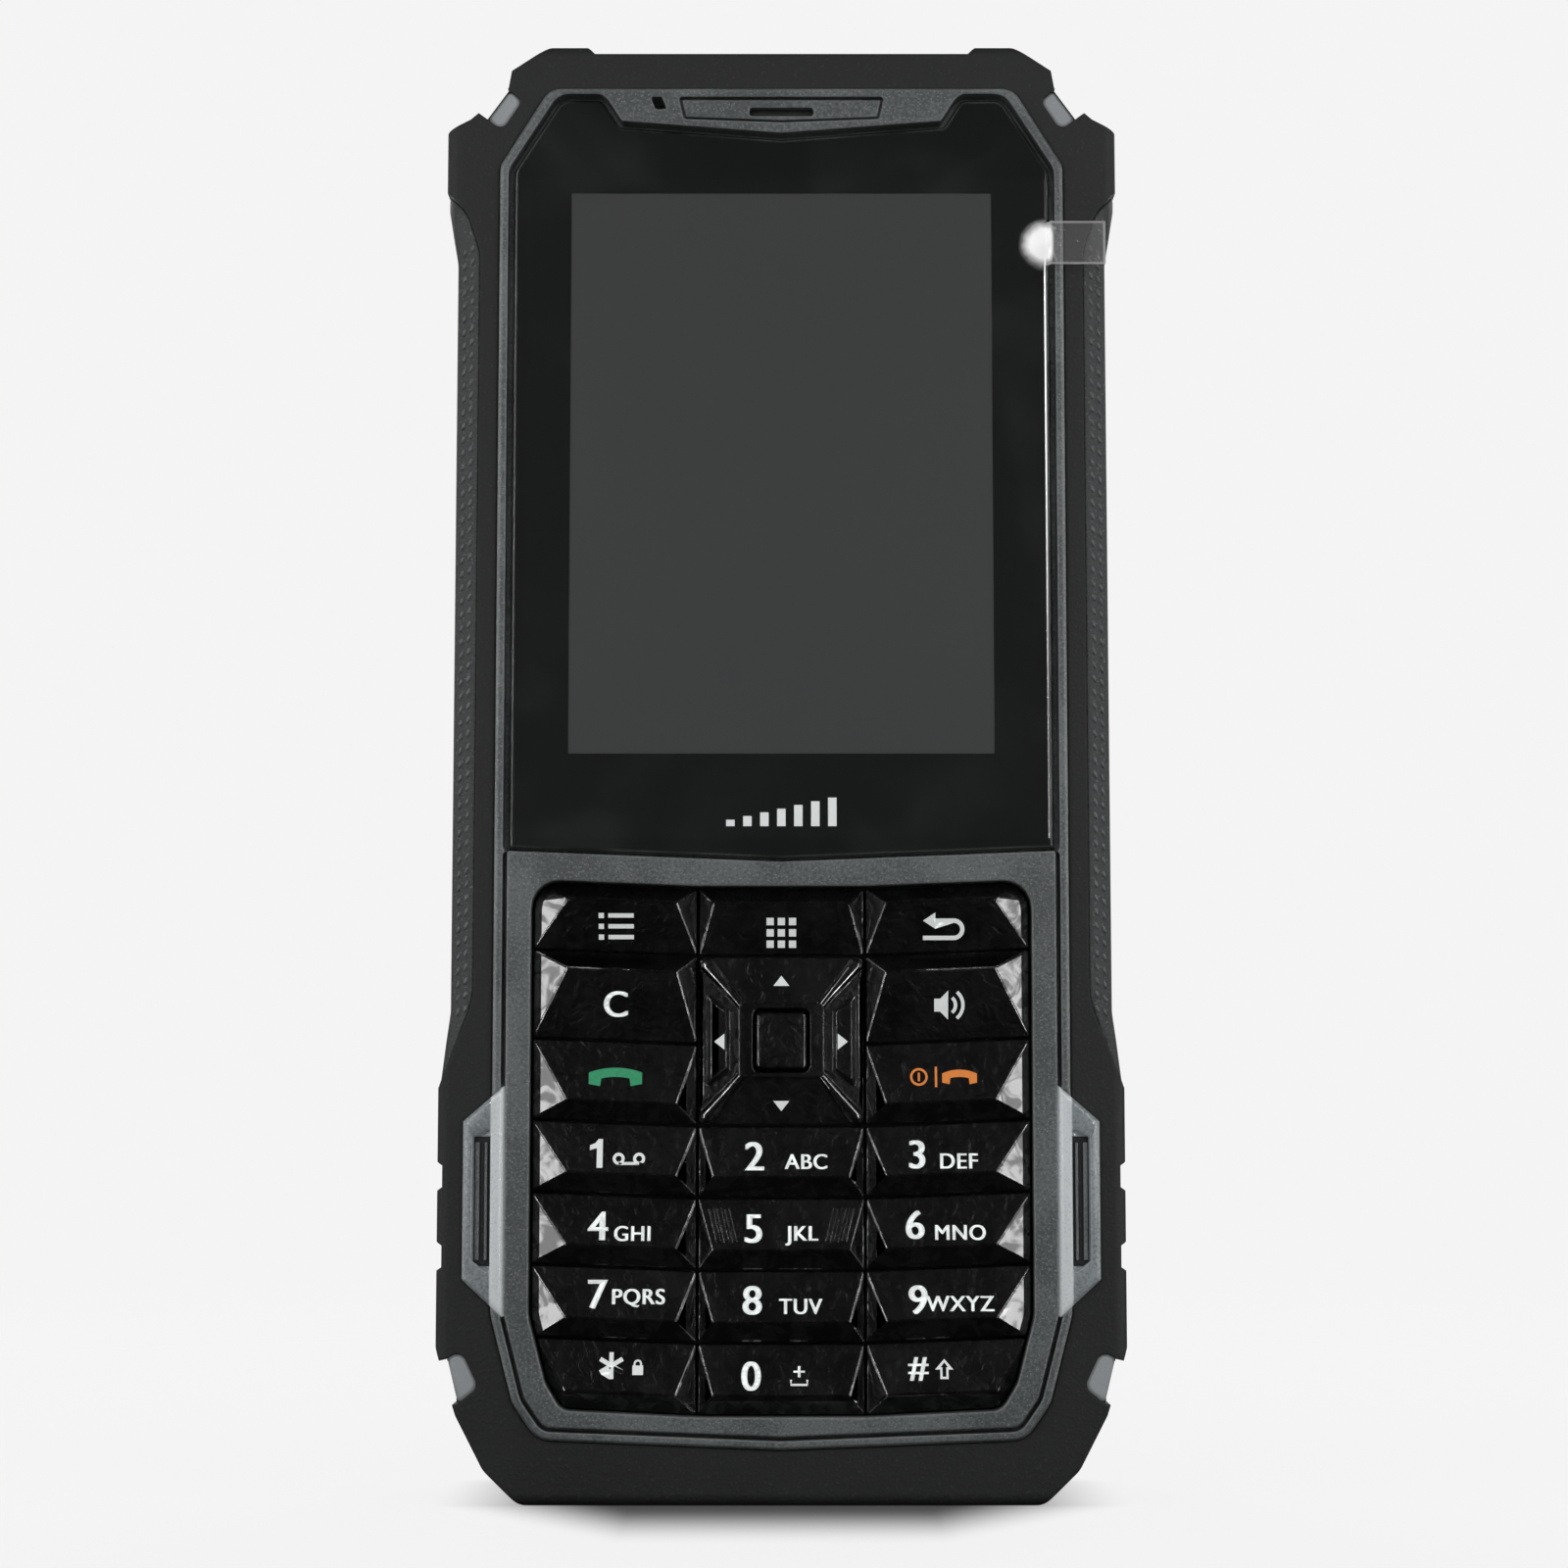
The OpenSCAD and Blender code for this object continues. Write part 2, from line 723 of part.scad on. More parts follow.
module case_screws() {
    color("#7c8082")
        both_x()
            for (z = screw_rows)
                translate([screw_x, 0, z])
                    difference() {
                        union() {
                            pin_y(screw_head_d, y_case_back - 1.6, y_case_back - 0.3);
                            pin_y(screw_d, y_well + 1, y_case_back - 1.6);
                        }
                        translate([0, y_case_back, 0]) rotate([90, 0, 0]) cylinder(d = 1.7, h = 1.1, $fn = 6);
                    }
}

module usb_socket() {
    wall = 0.3;
    z_low = 2.6;
    z_high = cavity_low + 3;
    color("#b9bcbe") {
        difference() {
            box([-usb_w / 2, usb_y - usb_d / 2, z_low], [usb_w / 2, usb_y + usb_d / 2, z_high]);
            box(
                [wall - usb_w / 2, usb_y - usb_d / 2 + wall, z_low - over],
                [usb_w / 2 - wall, usb_y + usb_d / 2 - wall, z_high - 1]
            );
        }
        box([-usb_w / 2 + 1.2, usb_y - 0.35, z_low + 1], [usb_w / 2 - 1.2, usb_y + 0.35, z_high - 1]);
    }
}

module audio_jack() {
    color("#1d1f20")
        translate([-jack_x, jack_y, cavity_high - 12])
            difference() {
                cylinder(d = jack_body_d, h = 13.8);
                translate([0, 0, 1]) cylinder(d = jack_d, h = 14);
            }
}

module display_module() {
    color("#2d3133")
        difference() {
            box(
                [-screen_half - 2, y_seat + 0.1, screen_low - 3.4],
                [screen_half + 2, y_seat + 0.1 + display_t, screen_high + 2]
            );
            box([-screen_half, y_front, screen_low], [screen_half, y_seat + 0.2, screen_high]);
        }
}

module chassis() {
    chassis_y = y_board + board_t + 1.9;
    low = cavity_low + 3.6;
    high = cavity_high - 14;
    half = cavity_half - 0.2;
    color("#8b8f91") {
        box([-half, chassis_y, low], [half, chassis_y + 0.6, high]);
        both_x() box([half - 0.6, chassis_y + 0.6, low], [half, y_part - 0.1, high]);
    }
}

module main_board() {
    color("#1f5a3a")
        difference() {
            slab(
                rounded(rectangle(cavity_half - 0.3, cavity_low + 0.4, cavity_high - 0.4, 3)),
                y_board,
                y_board + board_t
            );
            box([-jack_x - 3.2, y_front, cavity_high - 12.6], [-jack_x + 3.2, y_back, cavity_high]);
        }
}

module shield_cans() {
    can_y = y_board + board_t;
    color("#a7aaac")
        for (k = [0 : 2])
            box(
                [-17 + 3 * k, can_y, cavity_low + 14 + 33 * k],
                [13 - 2 * k, can_y + 1.7, cavity_low + 41 + 31 * k]
            );
}

module dome_sheet() {
    color("#c8c9c4")
        slab(rounded(inset(open_outline, 1.5)), y_board - 0.2, y_board);
}

module keypad_mat() {
    color("#141515")
        slab(rounded(inset(open_outline, -0.6)), y_mat, y_mat + 0.8);
}

module receiver() {
    color("#5b5e60")
        slab(rounded(rectangle(6.2, rim_high - 7, rim_high - 1.6, 1.2)), y_front + 2.8, y_well - 0.1);
}

module loudspeaker() {
    color("#26292a")
        slab(rounded(rectangle(9, rim_high - 31, rim_high - 23, 1)), y_part + 3.2, y_case_back - 1.6);
}

module microphone() {
    color("#b0a060")
        box([12, y_board + board_t, cavity_low + 1], [15.8, y_board + board_t + 1.1, cavity_low + 4]);
}

module vibration_motor() {
    color("#9ea2a4") translate([15.5, 0, rim_high - 27]) pin_y(9, y_part + 0.4, y_part + 3.2);
}

module camera_module() {
    color("#131516") {
        box([-9, y_part + 2.6, rim_high - 18.6], [-0.2, y_case_back - 1.7, rim_high - 9.8]);
        translate([-4.6, 0, rim_high - 14.2]) pin_y(5.6, y_case_back - 1.7, y_case_back - 1.1);
        box([3.6, y_case_back - 2.4, rim_high - 16], [7.2, y_case_back - 1.5, rim_high - 12.4]);
    }
}

module battery() {
    color("#3a3d40")
        slab(
            rounded(rectangle(bay_half - 0.4, bay_low + 0.4, bay_high - 0.4, 1)),
            y_bay + 0.1,
            y_bay + 0.1 + battery_t
        );
}

module battery_contacts() {
    color("#c9a44a")
        box([-6, y_bay + 0.8, bay_high - 0.3], [6, y_bay + 5.2, bay_high + 2.5]);
}

module sim_holder() {
    color("#b8bcbe")
        box([-7, y_part + 0.5, bay_low + 30.2], [7, y_bay, bay_low + 46.2]);
}

module antenna_flex() {
    color("#b5793a")
        box([-16, y_part + 1, cavity_high - 0.6], [16, y_case_back - 2, cavity_high - 0.4]);
}

// One key: a level body with a hipped crest.  The crest lies near the lower edge in the
// call row and below, and near the upper edge in the two rows above it.
module key_cap(col, row) {
    low = levels[row + 1];
    high = levels[row];
    crest_low = row >= 2;
    x0 = (2 * col - 1) * col_half + key_gap / 2;
    x1 = (2 * col + 1) * col_half - key_gap / 2;
    outer_hip = 3.4;
    inner_hip = 1.9;
    middle_hip = 1.4;
    x0_crest = x0 + (col == 0 ? middle_hip : col < 0 ? outer_hip : inner_hip);
    x1_crest = x1 - (col == 0 ? middle_hip : col < 0 ? inner_hip : outer_hip);
    color("#17191a")
        hull() {
            plate(y_valley, y_key_back)
                intersection() {
                    polygon([
                        [x0, row_z(low, x0) + key_gap / 2],
                        [x1, row_z(low, x1) + key_gap / 2],
                        [x1, row_z(high, x1) - key_gap / 2],
                        [x0, row_z(high, x0) - key_gap / 2],
                    ]);
                    polygon(rounded(inset(open_outline, key_gap)));
                }
            for (x = [x0_crest, x1_crest])
                translate([x, y_crest, crest_low ? row_z(low, x) + 2 : row_z(high, x) - 1.7])
                    cube(0.2, center = true);
        }
}

module key_menu() key_cap(-1, 0);
module key_apps() key_cap(0, 0);
module key_back() key_cap(1, 0);
module key_clear() key_cap(-1, 1);
module key_speaker() key_cap(1, 1);
module key_call() key_cap(-1, 2);
module key_end() key_cap(1, 2);
module key_1() key_cap(-1, 3);
module key_2() key_cap(0, 3);
module key_3() key_cap(1, 3);
module key_4() key_cap(-1, 4);
module key_6() key_cap(1, 4);
module key_7() key_cap(-1, 5);
module key_8() key_cap(0, 5);
module key_9() key_cap(1, 5);
module key_star() key_cap(-1, 6);
module key_0() key_cap(0, 6);
module key_hash() key_cap(1, 6);

// The middle key has three slanted feeling ridges on each side
module key_5() {
    face_tilt = atan(key_rise / (digit_row - 2));
    key_cap(0, 4);
    color("#17191a")
        both_x()
            for (k = [0 : 2])
                translate([4.7 + 0.75 * k, y_valley - key_rise / 2, row_z(levels[4], 0) - digit_row * 0.37])
                    rotate([-face_tilt, 14, 0])
                        cube([0.35, 0.5, 3.2], center = true);
}

nav_half = col_half - key_gap / 2 - 0.05;
nav_h = (levels[1] - levels[3]) / 2 - key_gap / 2 - 0.05;
bezel_half = 3.95;
bezel_h = 3.45;
ok_half = 2.5;
ok_h = 2.8;

module nav_pad() {
    y_edge = y_valley - 0.1;
    ridge = 0.75;
    wing = [
        [nav_half - 0.7, nav_z - nav_h + 3.4, 0.2],
        [nav_half - 0.7, nav_z + nav_h - 3.4, 0.2],
        [nav_half - 2.9, nav_z + nav_h - 5, 0.2],
        [nav_half - 2.9, nav_z - nav_h + 5, 0.2],
    ];
    color("#17191a")
        difference() {
            union() {
                hull() {
                    slab(rounded(rectangle(nav_half, nav_z - nav_h, nav_z + nav_h, 0.5)), y_edge, y_key_back - 0.1);
                    slab(rounded(rectangle(bezel_half, nav_z - bezel_h, nav_z + bezel_h, 0.4)), y_crest + 0.65, y_edge);
                }
                slab(rounded(rectangle(bezel_half, nav_z - bezel_h, nav_z + bezel_h, 0.4)), y_crest + 0.15, y_edge);
                // A raised wing on each side carries its arrow
                both_x()
                    hull() {
                        slab(rounded(wing), y_crest + 0.8, y_edge + 0.4);
                        slab(rounded(inset(wing, 0.4)), y_crest + 0.45, y_edge);
                    }
                for (sx = [-1, 1], sz = [-1, 1])
                    hull() {
                        translate([sx * (nav_half - ridge), y_edge - 0.2, nav_z + sz * (nav_h - ridge)])
                            sphere(d = 2 * ridge, $fn = 12);
                        translate([sx * (bezel_half - 0.3), y_crest + 0.6, nav_z + sz * (bezel_h - 0.3)])
                            sphere(d = ridge, $fn = 12);
                    }
            }
            slab(rounded(rectangle(ok_half + play, nav_z - ok_h - play, nav_z + ok_h + play, 0.7)), y_front, y_part);
        }
}

module key_ok() {
    color("#17191a") chamfered(rectangle(ok_half, nav_z - ok_h, nav_z + ok_h, 0.6), y_crest + 0.3, y_key_back, 0.3, 0.05);
}

module nav_carrier() {
    color("#3a3c3d")
        difference() {
            slab(rounded(rectangle(5.6, nav_z - 5.6, nav_z + 5.6, 1)), y_key_back + 0.2, y_key_back + 0.5);
            slab(rounded(rectangle(ok_half + 0.7, nav_z - ok_h - 0.7, nav_z + ok_h + 0.7, 0.7)), y_front, y_part);
        }
}

// Outline of a side key seen from the side of the phone, pulled out to its thickness
module side_key(z, half) {
    translate([side_key_in, 0, z])
        rotate([0, 0, 90])
            skin([
                [side_key_in - side_key_out, rounded(rectangle(side_key_y - 0.5, 0.5 - half, half - 0.5, 1))],
                [side_key_in - side_key_out + 0.5, rounded(rectangle(side_key_y, -half, half, 1.5))],
                [0, rounded(rectangle(side_key_y, -half, half, 1.5))],
            ]);
}

module ptt_key() {
    color("#c98a2a")
        mirror([1, 0, 0])
            difference() {
                side_key(ptt_z, ptt_half);
                for (k = [-2 : 2])
                    box([side_key_out - 0.3, -2, ptt_z + 2.6 * k - 0.4], [side_key_out + 1, 2, ptt_z + 2.6 * k + 0.4]);
            }
}

module volume_key() {
    color("#1d1f20")
        difference() {
            side_key(volume_z, volume_half);
            box([side_key_out - 0.4, -side_key_y - 1, volume_z - 1.4], [side_key_out + 1, side_key_y + 1, volume_z + 1.4]);
        }
}

module usb_flap() {
    color("#1c1e1e") flap(usb_flap_half, usb_hinge.x, usb_hinge.y, 0);
}

module jack_flap() {
    color("#1c1e1e") translate([-jack_x, 0, 0]) flap(jack_flap_half, jack_hinge.x, jack_hinge.y, 0);
}

bumper();
front_case();
keypad_frame();
display_lens();
grip_left();
grip_right();
side_brackets();
corner_inserts();
rear_case();
earpiece_mesh();
speaker_grille();
rear_window();
case_screws();
usb_socket();
audio_jack();
display_module();
lens_gasket();
chassis();
main_board();
shield_cans();
dome_sheet();
keypad_mat();
receiver();
loudspeaker();
microphone();
vibration_motor();
camera_module();
battery();
battery_contacts();
sim_holder();
antenna_flex();
cover_seal();
nav_carrier();
nav_pad();
key_ok();
key_menu();
key_apps();
key_back();
key_clear();
key_speaker();
key_call();
key_end();
key_1();
key_2();
key_3();
key_4();
key_5();
key_6();
key_7();
key_8();
key_9();
key_star();
key_0();
key_hash();
ptt_key();
volume_key();
usb_flap();
jack_flap();
battery_cover();
cover_screw();
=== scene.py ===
# %% [markdown]
# # A rugged keypad handset, piece by piece
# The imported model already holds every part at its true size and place.  This lesson gives the
# parts their edges, their finishes and their printing, and then lights them in a small studio.
# The first step loads that model.  Its parts are the frame that everything else is placed by.

# %% Load the frame
import json
import math

import bpy
from mathutils import Matrix, Vector


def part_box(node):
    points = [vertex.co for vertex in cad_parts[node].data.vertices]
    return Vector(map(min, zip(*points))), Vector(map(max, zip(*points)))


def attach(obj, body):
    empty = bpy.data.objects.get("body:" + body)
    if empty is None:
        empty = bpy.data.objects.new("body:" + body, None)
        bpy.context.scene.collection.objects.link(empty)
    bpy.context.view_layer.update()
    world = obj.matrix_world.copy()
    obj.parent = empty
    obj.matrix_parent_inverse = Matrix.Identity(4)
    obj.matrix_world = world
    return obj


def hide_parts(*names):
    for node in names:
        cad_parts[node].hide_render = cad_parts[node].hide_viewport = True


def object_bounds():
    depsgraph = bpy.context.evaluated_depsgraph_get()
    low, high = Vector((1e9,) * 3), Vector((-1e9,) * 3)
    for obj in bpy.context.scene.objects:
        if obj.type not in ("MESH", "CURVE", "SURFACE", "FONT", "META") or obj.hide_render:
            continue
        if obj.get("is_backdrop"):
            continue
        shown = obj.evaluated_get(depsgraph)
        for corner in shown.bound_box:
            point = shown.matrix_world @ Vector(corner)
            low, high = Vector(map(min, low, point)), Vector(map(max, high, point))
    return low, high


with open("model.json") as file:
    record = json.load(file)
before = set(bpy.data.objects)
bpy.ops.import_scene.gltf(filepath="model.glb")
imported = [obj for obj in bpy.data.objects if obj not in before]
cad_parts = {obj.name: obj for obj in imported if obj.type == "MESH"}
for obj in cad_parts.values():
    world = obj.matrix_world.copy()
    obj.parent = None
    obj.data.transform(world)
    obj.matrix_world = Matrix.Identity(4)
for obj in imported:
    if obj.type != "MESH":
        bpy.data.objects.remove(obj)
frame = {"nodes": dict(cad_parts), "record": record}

CAD_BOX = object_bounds()
MM = 0.001
RECORD = frame["record"]
BODY_OF = {node: body for body, nodes in RECORD["behaviour"]["bodies"].items() for node in nodes}
SLOT_OF = {part["node"]: part["material_slot"] for part in RECORD["subparts"]}
print(len(BODY_OF), "parts, box in mm:", [round(v / MM, 1) for corner in CAD_BOX for v in corner])

# %% [markdown]
# ## Helpers for modelling
# An operator acts on everything that is selected, so one helper selects a single object.
# Another one turns the faces of a new shell outwards, because a lit face that points inwards is
# dark.  A third one gives a finished piece its material and its body in one call.

# %% Select one object, turn its faces, and hand it over
def only(piece):
    if bpy.context.mode != "OBJECT":
        bpy.ops.object.mode_set(mode="OBJECT")
    bpy.ops.object.select_all(action="DESELECT")
    piece.select_set(True)
    bpy.context.view_layer.objects.active = piece


def turn_outwards(piece, merge=0.0):
    """Points the faces outwards, after corners closer than merge are made one."""
    only(piece)
    bpy.ops.object.mode_set(mode="EDIT")
    bpy.ops.mesh.select_all(action="SELECT")
    if merge:
        bpy.ops.mesh.remove_doubles(threshold=merge)
    bpy.ops.mesh.normals_make_consistent(inside=False)
    bpy.ops.object.mode_set(mode="OBJECT")


def hand_over(piece, material, body, slot, *nodes):
    piece.data.materials.clear()
    piece.data.materials.append(material)
    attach(piece, body)
    if nodes:
        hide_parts(*nodes)
    return piece


def middle(node):
    low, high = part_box(node)
    return (low + high) / 2


# %% [markdown]
# ## Helpers for materials
# A material is a small sum over noise patterns, so it is written as one.  `Num` wraps a number
# socket and lets Python's own operators add the Math nodes.  `Finish` holds one material, and
# its `node` method makes any node from its type, its settings and its inputs.

# %% Numbers that can be added and multiplied
class Num:
    def __init__(self, finish, socket):
        self.finish = finish
        self.socket = socket

    def calculate(self, operation, a, b):
        node = self.finish.node("ShaderNodeMath", {"operation": operation}, {0: a, 1: b})
        return Num(self.finish, node.outputs[0])

    def __add__(self, other):
        return self.calculate("ADD", self, other)

    def __sub__(self, other):
        return self.calculate("SUBTRACT", self, other)

    def __rsub__(self, other):
        return self.calculate("SUBTRACT", other, self)

    def __mul__(self, other):
        return self.calculate("MULTIPLY", self, other)

    def __abs__(self):
        return self.calculate("ABSOLUTE", self, 0)

    def highest(self, other):
        return self.calculate("MAXIMUM", self, other)

    def ramp(self, start, end):
        """0 up to start, 1 from end on, and smooth between them."""
        settings = {"interpolation_type": "SMOOTHSTEP"}
        node = self.finish.node("ShaderNodeMapRange", settings, {0: self, 1: start, 2: end})
        return Num(self.finish, node.outputs[0])

    __radd__ = __add__
    __rmul__ = __mul__


# %% One material
class Finish:
    def __init__(self, name, shader):
        self.material = bpy.data.materials.new(name)
        self.material.use_nodes = True
        self.tree = self.material.node_tree
        self.shader = self.tree.nodes["Principled BSDF"]
        self.place = self.node("ShaderNodeTexCoord").outputs["Object"]
        self.rounding = None
        self.give(shader)

    def feed(self, socket, value):
        if isinstance(value, Num):
            value = value.socket
        if isinstance(value, bpy.types.NodeSocket):
            self.tree.links.new(value, socket)
        else:
            socket.default_value = value

    def give(self, shader):
        for name, value in shader.items():
            self.feed(self.shader.inputs[name], value)

    def node(self, kind, settings=None, inputs=None):
        node = self.tree.nodes.new(kind)
        for name, value in (settings or {}).items():
            setattr(node, name, value)
        for name, value in (inputs or {}).items():
            self.feed(node.inputs[name], value)
        return node

    def noise(self, size_mm, detail=2.0, distortion=0.0):
        """Cloudy pattern from about 0 to 1, with blotches of about that size."""
        inputs = {"Vector": self.place, "Scale": 1 / (size_mm * MM)}
        inputs.update({"Detail": detail, "Distortion": distortion})
        return Num(self, self.node("ShaderNodeTexNoise", None, inputs).outputs[0])

    def cells(self, size_mm, feature="F1"):
        """Distance from the points of a scattered lattice, in cells."""
        inputs = {"Vector": self.place, "Scale": 1 / (size_mm * MM)}
        node = self.node("ShaderNodeTexVoronoi", {"feature": feature}, inputs)
        return Num(self, node.outputs["Distance"])

    def axes(self):
        """The place on the object as three numbers, in metres."""
        node = self.node("ShaderNodeSeparateXYZ", None, {0: self.place})
        return [Num(self, socket) for socket in node.outputs]

    def distance(self, point):
        """How far each place is from that point, in metres."""
        inputs = {0: self.place, 1: point}
        node = self.node("ShaderNodeVectorMath", {"operation": "DISTANCE"}, inputs)
        return Num(self, node.outputs["Value"])

    def blend(self, mask, one, other):
        """The first colour where the mask is 0, and the other one where it is 1."""
        node = self.node("ShaderNodeMix", {"data_type": "RGBA"}, {0: mask, 6: one, 7: other})
        return node.outputs[2]

    def round_edges(self, radius_mm):
        """Bends the shading round every edge, and returns 1 on edges and 0 on open surfaces."""
        bevel = self.node("ShaderNodeBevel", {"samples": 4}, {"Radius": radius_mm * MM})
        self.rounding = bevel.outputs[0]
        flat = self.node("ShaderNodeNewGeometry").outputs["Normal"]
        inputs = {0: self.rounding, 1: flat}
        dot = self.node("ShaderNodeVectorMath", {"operation": "DOT_PRODUCT"}, inputs)
        return (1 - Num(self, dot.outputs["Value"])).ramp(0.01, 0.2)

    def bump(self, height, depth_mm):
        """Relief of that depth, over the rounded edges where the finish has them."""
        inputs = {"Height": height, "Distance": depth_mm * MM}
        if self.rounding:
            inputs["Normal"] = self.rounding
        self.give({"Normal": self.node("ShaderNodeBump", None, inputs).outputs[0]})


def tint(red, green, blue):
    """A colour from 0 to 255 as the eye sees it, in the linear numbers that a shader takes."""
    shares = [value / 255 for value in (red, green, blue)]
    return tuple(s / 12.92 if s <= 0.04045 else ((s + 0.055) / 1.055) ** 2.4 for s in shares) + (1.0,)


# %% [markdown]
# ## Finishes
# Moulded rubber is never one flat black.  It has cloudy patches, a fine grain that breaks up the
# light, and paler edges, partly worn where hands have polished it and partly a painted highlight
# where they catch the light.  Bump gives the grain, because it is far too fine to model.  The
# light corner inserts also glow a little, a glow of painted light: the real ones catch light from
# the sides, and extra lamps for them would have greyed the rubber around them.

# %% Rubber and moulded plastic
def moulded(name, dark, light, wear_and_sheen, grain_mm, depth_mm, roughness, coat=0.0, glow=0.0):
    shader = {"Coat Weight": coat, "Coat Roughness": 0.3, "Specular IOR Level": 0.3}
    finish = Finish(name, {**shader, "Emission Strength": glow})
    cloud = finish.noise(14, 4).ramp(0.3, 0.7)
    grain = finish.noise(grain_mm, 3)
    edge = finish.round_edges(0.35)
    body = finish.blend(cloud, tint(*dark), tint(*light))
    # Specks of the grain take the wear-and-sheen colour, and so do the edges: partly wear and partly a
    # painted highlight.  The glow is painted light.
    specks_and_sheen = (grain.ramp(0.58, 0.75) * 0.5).highest(edge * grain.ramp(0.25, 0.6) * 0.6)
    finish.give({
        "Base Color": finish.blend(specks_and_sheen, body, tint(*wear_and_sheen)),
        "Emission Color": body,
        "Roughness": roughness + 0.22 * (grain - 0.5) + 0.08 * (cloud - 0.5),
    })
    finish.bump(grain, depth_mm)
    return finish.material


# %% [markdown]
# The front frame is painted: a satin grey with fine lighter and darker specks in it.  Two cell
# patterns give the specks, a noise and a field of cells, and a thin coat gives the satin.  The
# edges take the glint colour as a painted highlight.  The brackets take the same paint with a
# slight glow, which is painted light, and with a painted highlight: a brighter band where their
# inner flank tips towards the light.

# %% Speckled satin paint
def speckled(name, dark, light, glint, roughness, band=None, glow=0.0):
    shader = {"Coat Weight": 0.25, "Coat Roughness": 0.25, "Emission Strength": glow}
    finish = Finish(name, shader)
    cloud = finish.noise(9, 3).ramp(0.3, 0.7)
    grain = finish.noise(0.28, 2)
    flake = 1 - finish.cells(0.3).ramp(0.12, 0.3)
    edge = finish.round_edges(0.3)
    body = finish.blend((grain * 0.75 + cloud * 0.25).ramp(0.3, 0.7), tint(*dark), tint(*light))
    # Painted highlight: the brackets' inner flank is painted brighter.
    if band:
        start_mm, end_mm, bright = band
        flank_highlight = 1 - abs(finish.axes()[0]).ramp(start_mm * MM, end_mm * MM)
        body = finish.blend(flank_highlight * (0.75 + 0.25 * grain), body, tint(*bright))
    finish.give({
        # Flakes take the glint colour, and the edges take it as a painted highlight; the glow is painted
        # light.
        "Base Color": finish.blend((flake * 0.45).highest(edge * 0.5), body, tint(*glint)),
        "Roughness": roughness + 0.25 * (grain - 0.5) - 0.1 * flake,
        "Metallic": 0.25 * flake,
        "Emission Color": body,
    })
    finish.bump(grain, 0.02)
    return finish.material


# %% [markdown]
# The keys are polished black plastic under a hard lacquer.  A real lacquer is never flat: its
# short waves of about a millimetre break a straight reflection into blobs, and it thins out in
# veins that mirror less.  A distorted noise makes each of them, a coarser noise gives the smears
# of fingers, and cells give a few specks of dust.

# %% Polished lacquer
def lacquered(name, colour, haze, wave_mm, wave_depth_mm, roughness, coat_ior=1.8):
    shader = {"Coat Roughness": 0.04, "Coat IOR": coat_ior, "Specular IOR Level": 0.15}
    finish = Finish(name, shader)
    colour, haze = tint(*colour), tint(*haze)
    wave = finish.noise(wave_mm, 2, 1.2)
    veins = finish.noise(2.4, 2, 1.6).ramp(0.4, 0.62)
    smear = finish.noise(6, 4, 0.6).ramp(0.35, 0.75)
    dust = finish.cells(1.7).ramp(0.0, 0.07)
    edge = finish.round_edges(0.25)
    # Smears and dust make the lacquer hazy, and the edges take the haze too, as a painted sheen.
    wear_and_sheen = (smear * 0.4 + (1 - dust) * 0.5).highest(edge * 0.35)
    finish.give({
        "Base Color": finish.blend(wear_and_sheen, colour, haze),
        "Roughness": roughness + 0.1 * smear,
        "Coat Weight": 0.35 + 0.65 * veins,
    })
    finish.bump(wave, wave_depth_mm)
    return finish.material


# %% [markdown]
# Screws, shields and contacts are metal.  The brushing is a very fine noise and the scratches
# are the borders of a field of cells, both in roughness and bump, since metal shows its surface
# in how it mirrors and hardly in its colour.

# %% Bare and plated metal
def metal(name, dark, light, roughness, brush_mm=0.12):
    finish = Finish(name, {"Metallic": 1.0})
    cloud = finish.noise(5, 3).ramp(0.3, 0.7)
    brush = finish.noise(brush_mm, 2)
    scratch = finish.cells(2.2, "DISTANCE_TO_EDGE").ramp(0.0, 0.03)
    finish.give({
        "Base Color": finish.blend(cloud * 0.6 + brush * 0.4, tint(*dark), tint(*light)),
        "Roughness": roughness + 0.18 * brush + 0.1 * (1 - scratch),
    })
    finish.bump(brush * 0.7 + scratch * 0.3, 0.012)
    return finish.material


# %% [markdown]
# Each slot of the record names one finish.  The tables give every slot its colours and its
# grain, in one row each, and the parts then look their finish up by the slot they are in.

# %% The finish of every slot
MOULDED = {
    # slot: dark, light and wear-and-sheen colour (specks, wear and a painted edge highlight),
    # size and depth of the grain in mm, roughness
    # and then, for a few, the weight of a coat and a glow of painted light
    "bumper_rubber": ((30, 32, 32), (37, 39, 39), (66, 70, 70), 0.3, 0.05, 0.62),
    "grip_rubber": ((62, 65, 66), (74, 78, 79), (196, 201, 202), 0.22, 0.05, 0.55),
    # The pips are the grip's rubber painted lighter, a painted highlight on them.
    "pip_rubber_painted_highlight": ((104, 108, 109), (124, 128, 129), (190, 194, 195), 0.15, 0.02, 0.4, 0.2),
    "insert_grey": ((164, 169, 172), (178, 183, 186), (206, 210, 212), 0.3, 0.03, 0.5, 0, 0.16),
    "rear_shell": ((38, 40, 41), (48, 50, 51), (84, 87, 88), 0.35, 0.06, 0.6),
    "cover_shell": ((43, 46, 47), (54, 57, 58), (92, 95, 96), 0.3, 0.06, 0.56),
    "seal_orange": ((186, 92, 40), (208, 108, 50), (226, 150, 104), 0.3, 0.03, 0.6),
    "dark_rubber": ((24, 25, 25), (33, 34, 34), (62, 64, 64), 0.25, 0.04, 0.6),
    "board_green": ((20, 74, 46), (30, 96, 60), (150, 160, 110), 0.8, 0.05, 0.4, 0.4),
    "module_dark": ((34, 37, 39), (46, 49, 51), (88, 92, 94), 0.4, 0.03, 0.5),
    "battery_wrap": ((52, 55, 59), (64, 68, 72), (110, 114, 118), 0.5, 0.02, 0.36, 0.3),
    "side_key_orange": ((196, 128, 38), (214, 146, 52), (236, 190, 120), 0.3, 0.03, 0.48),
}
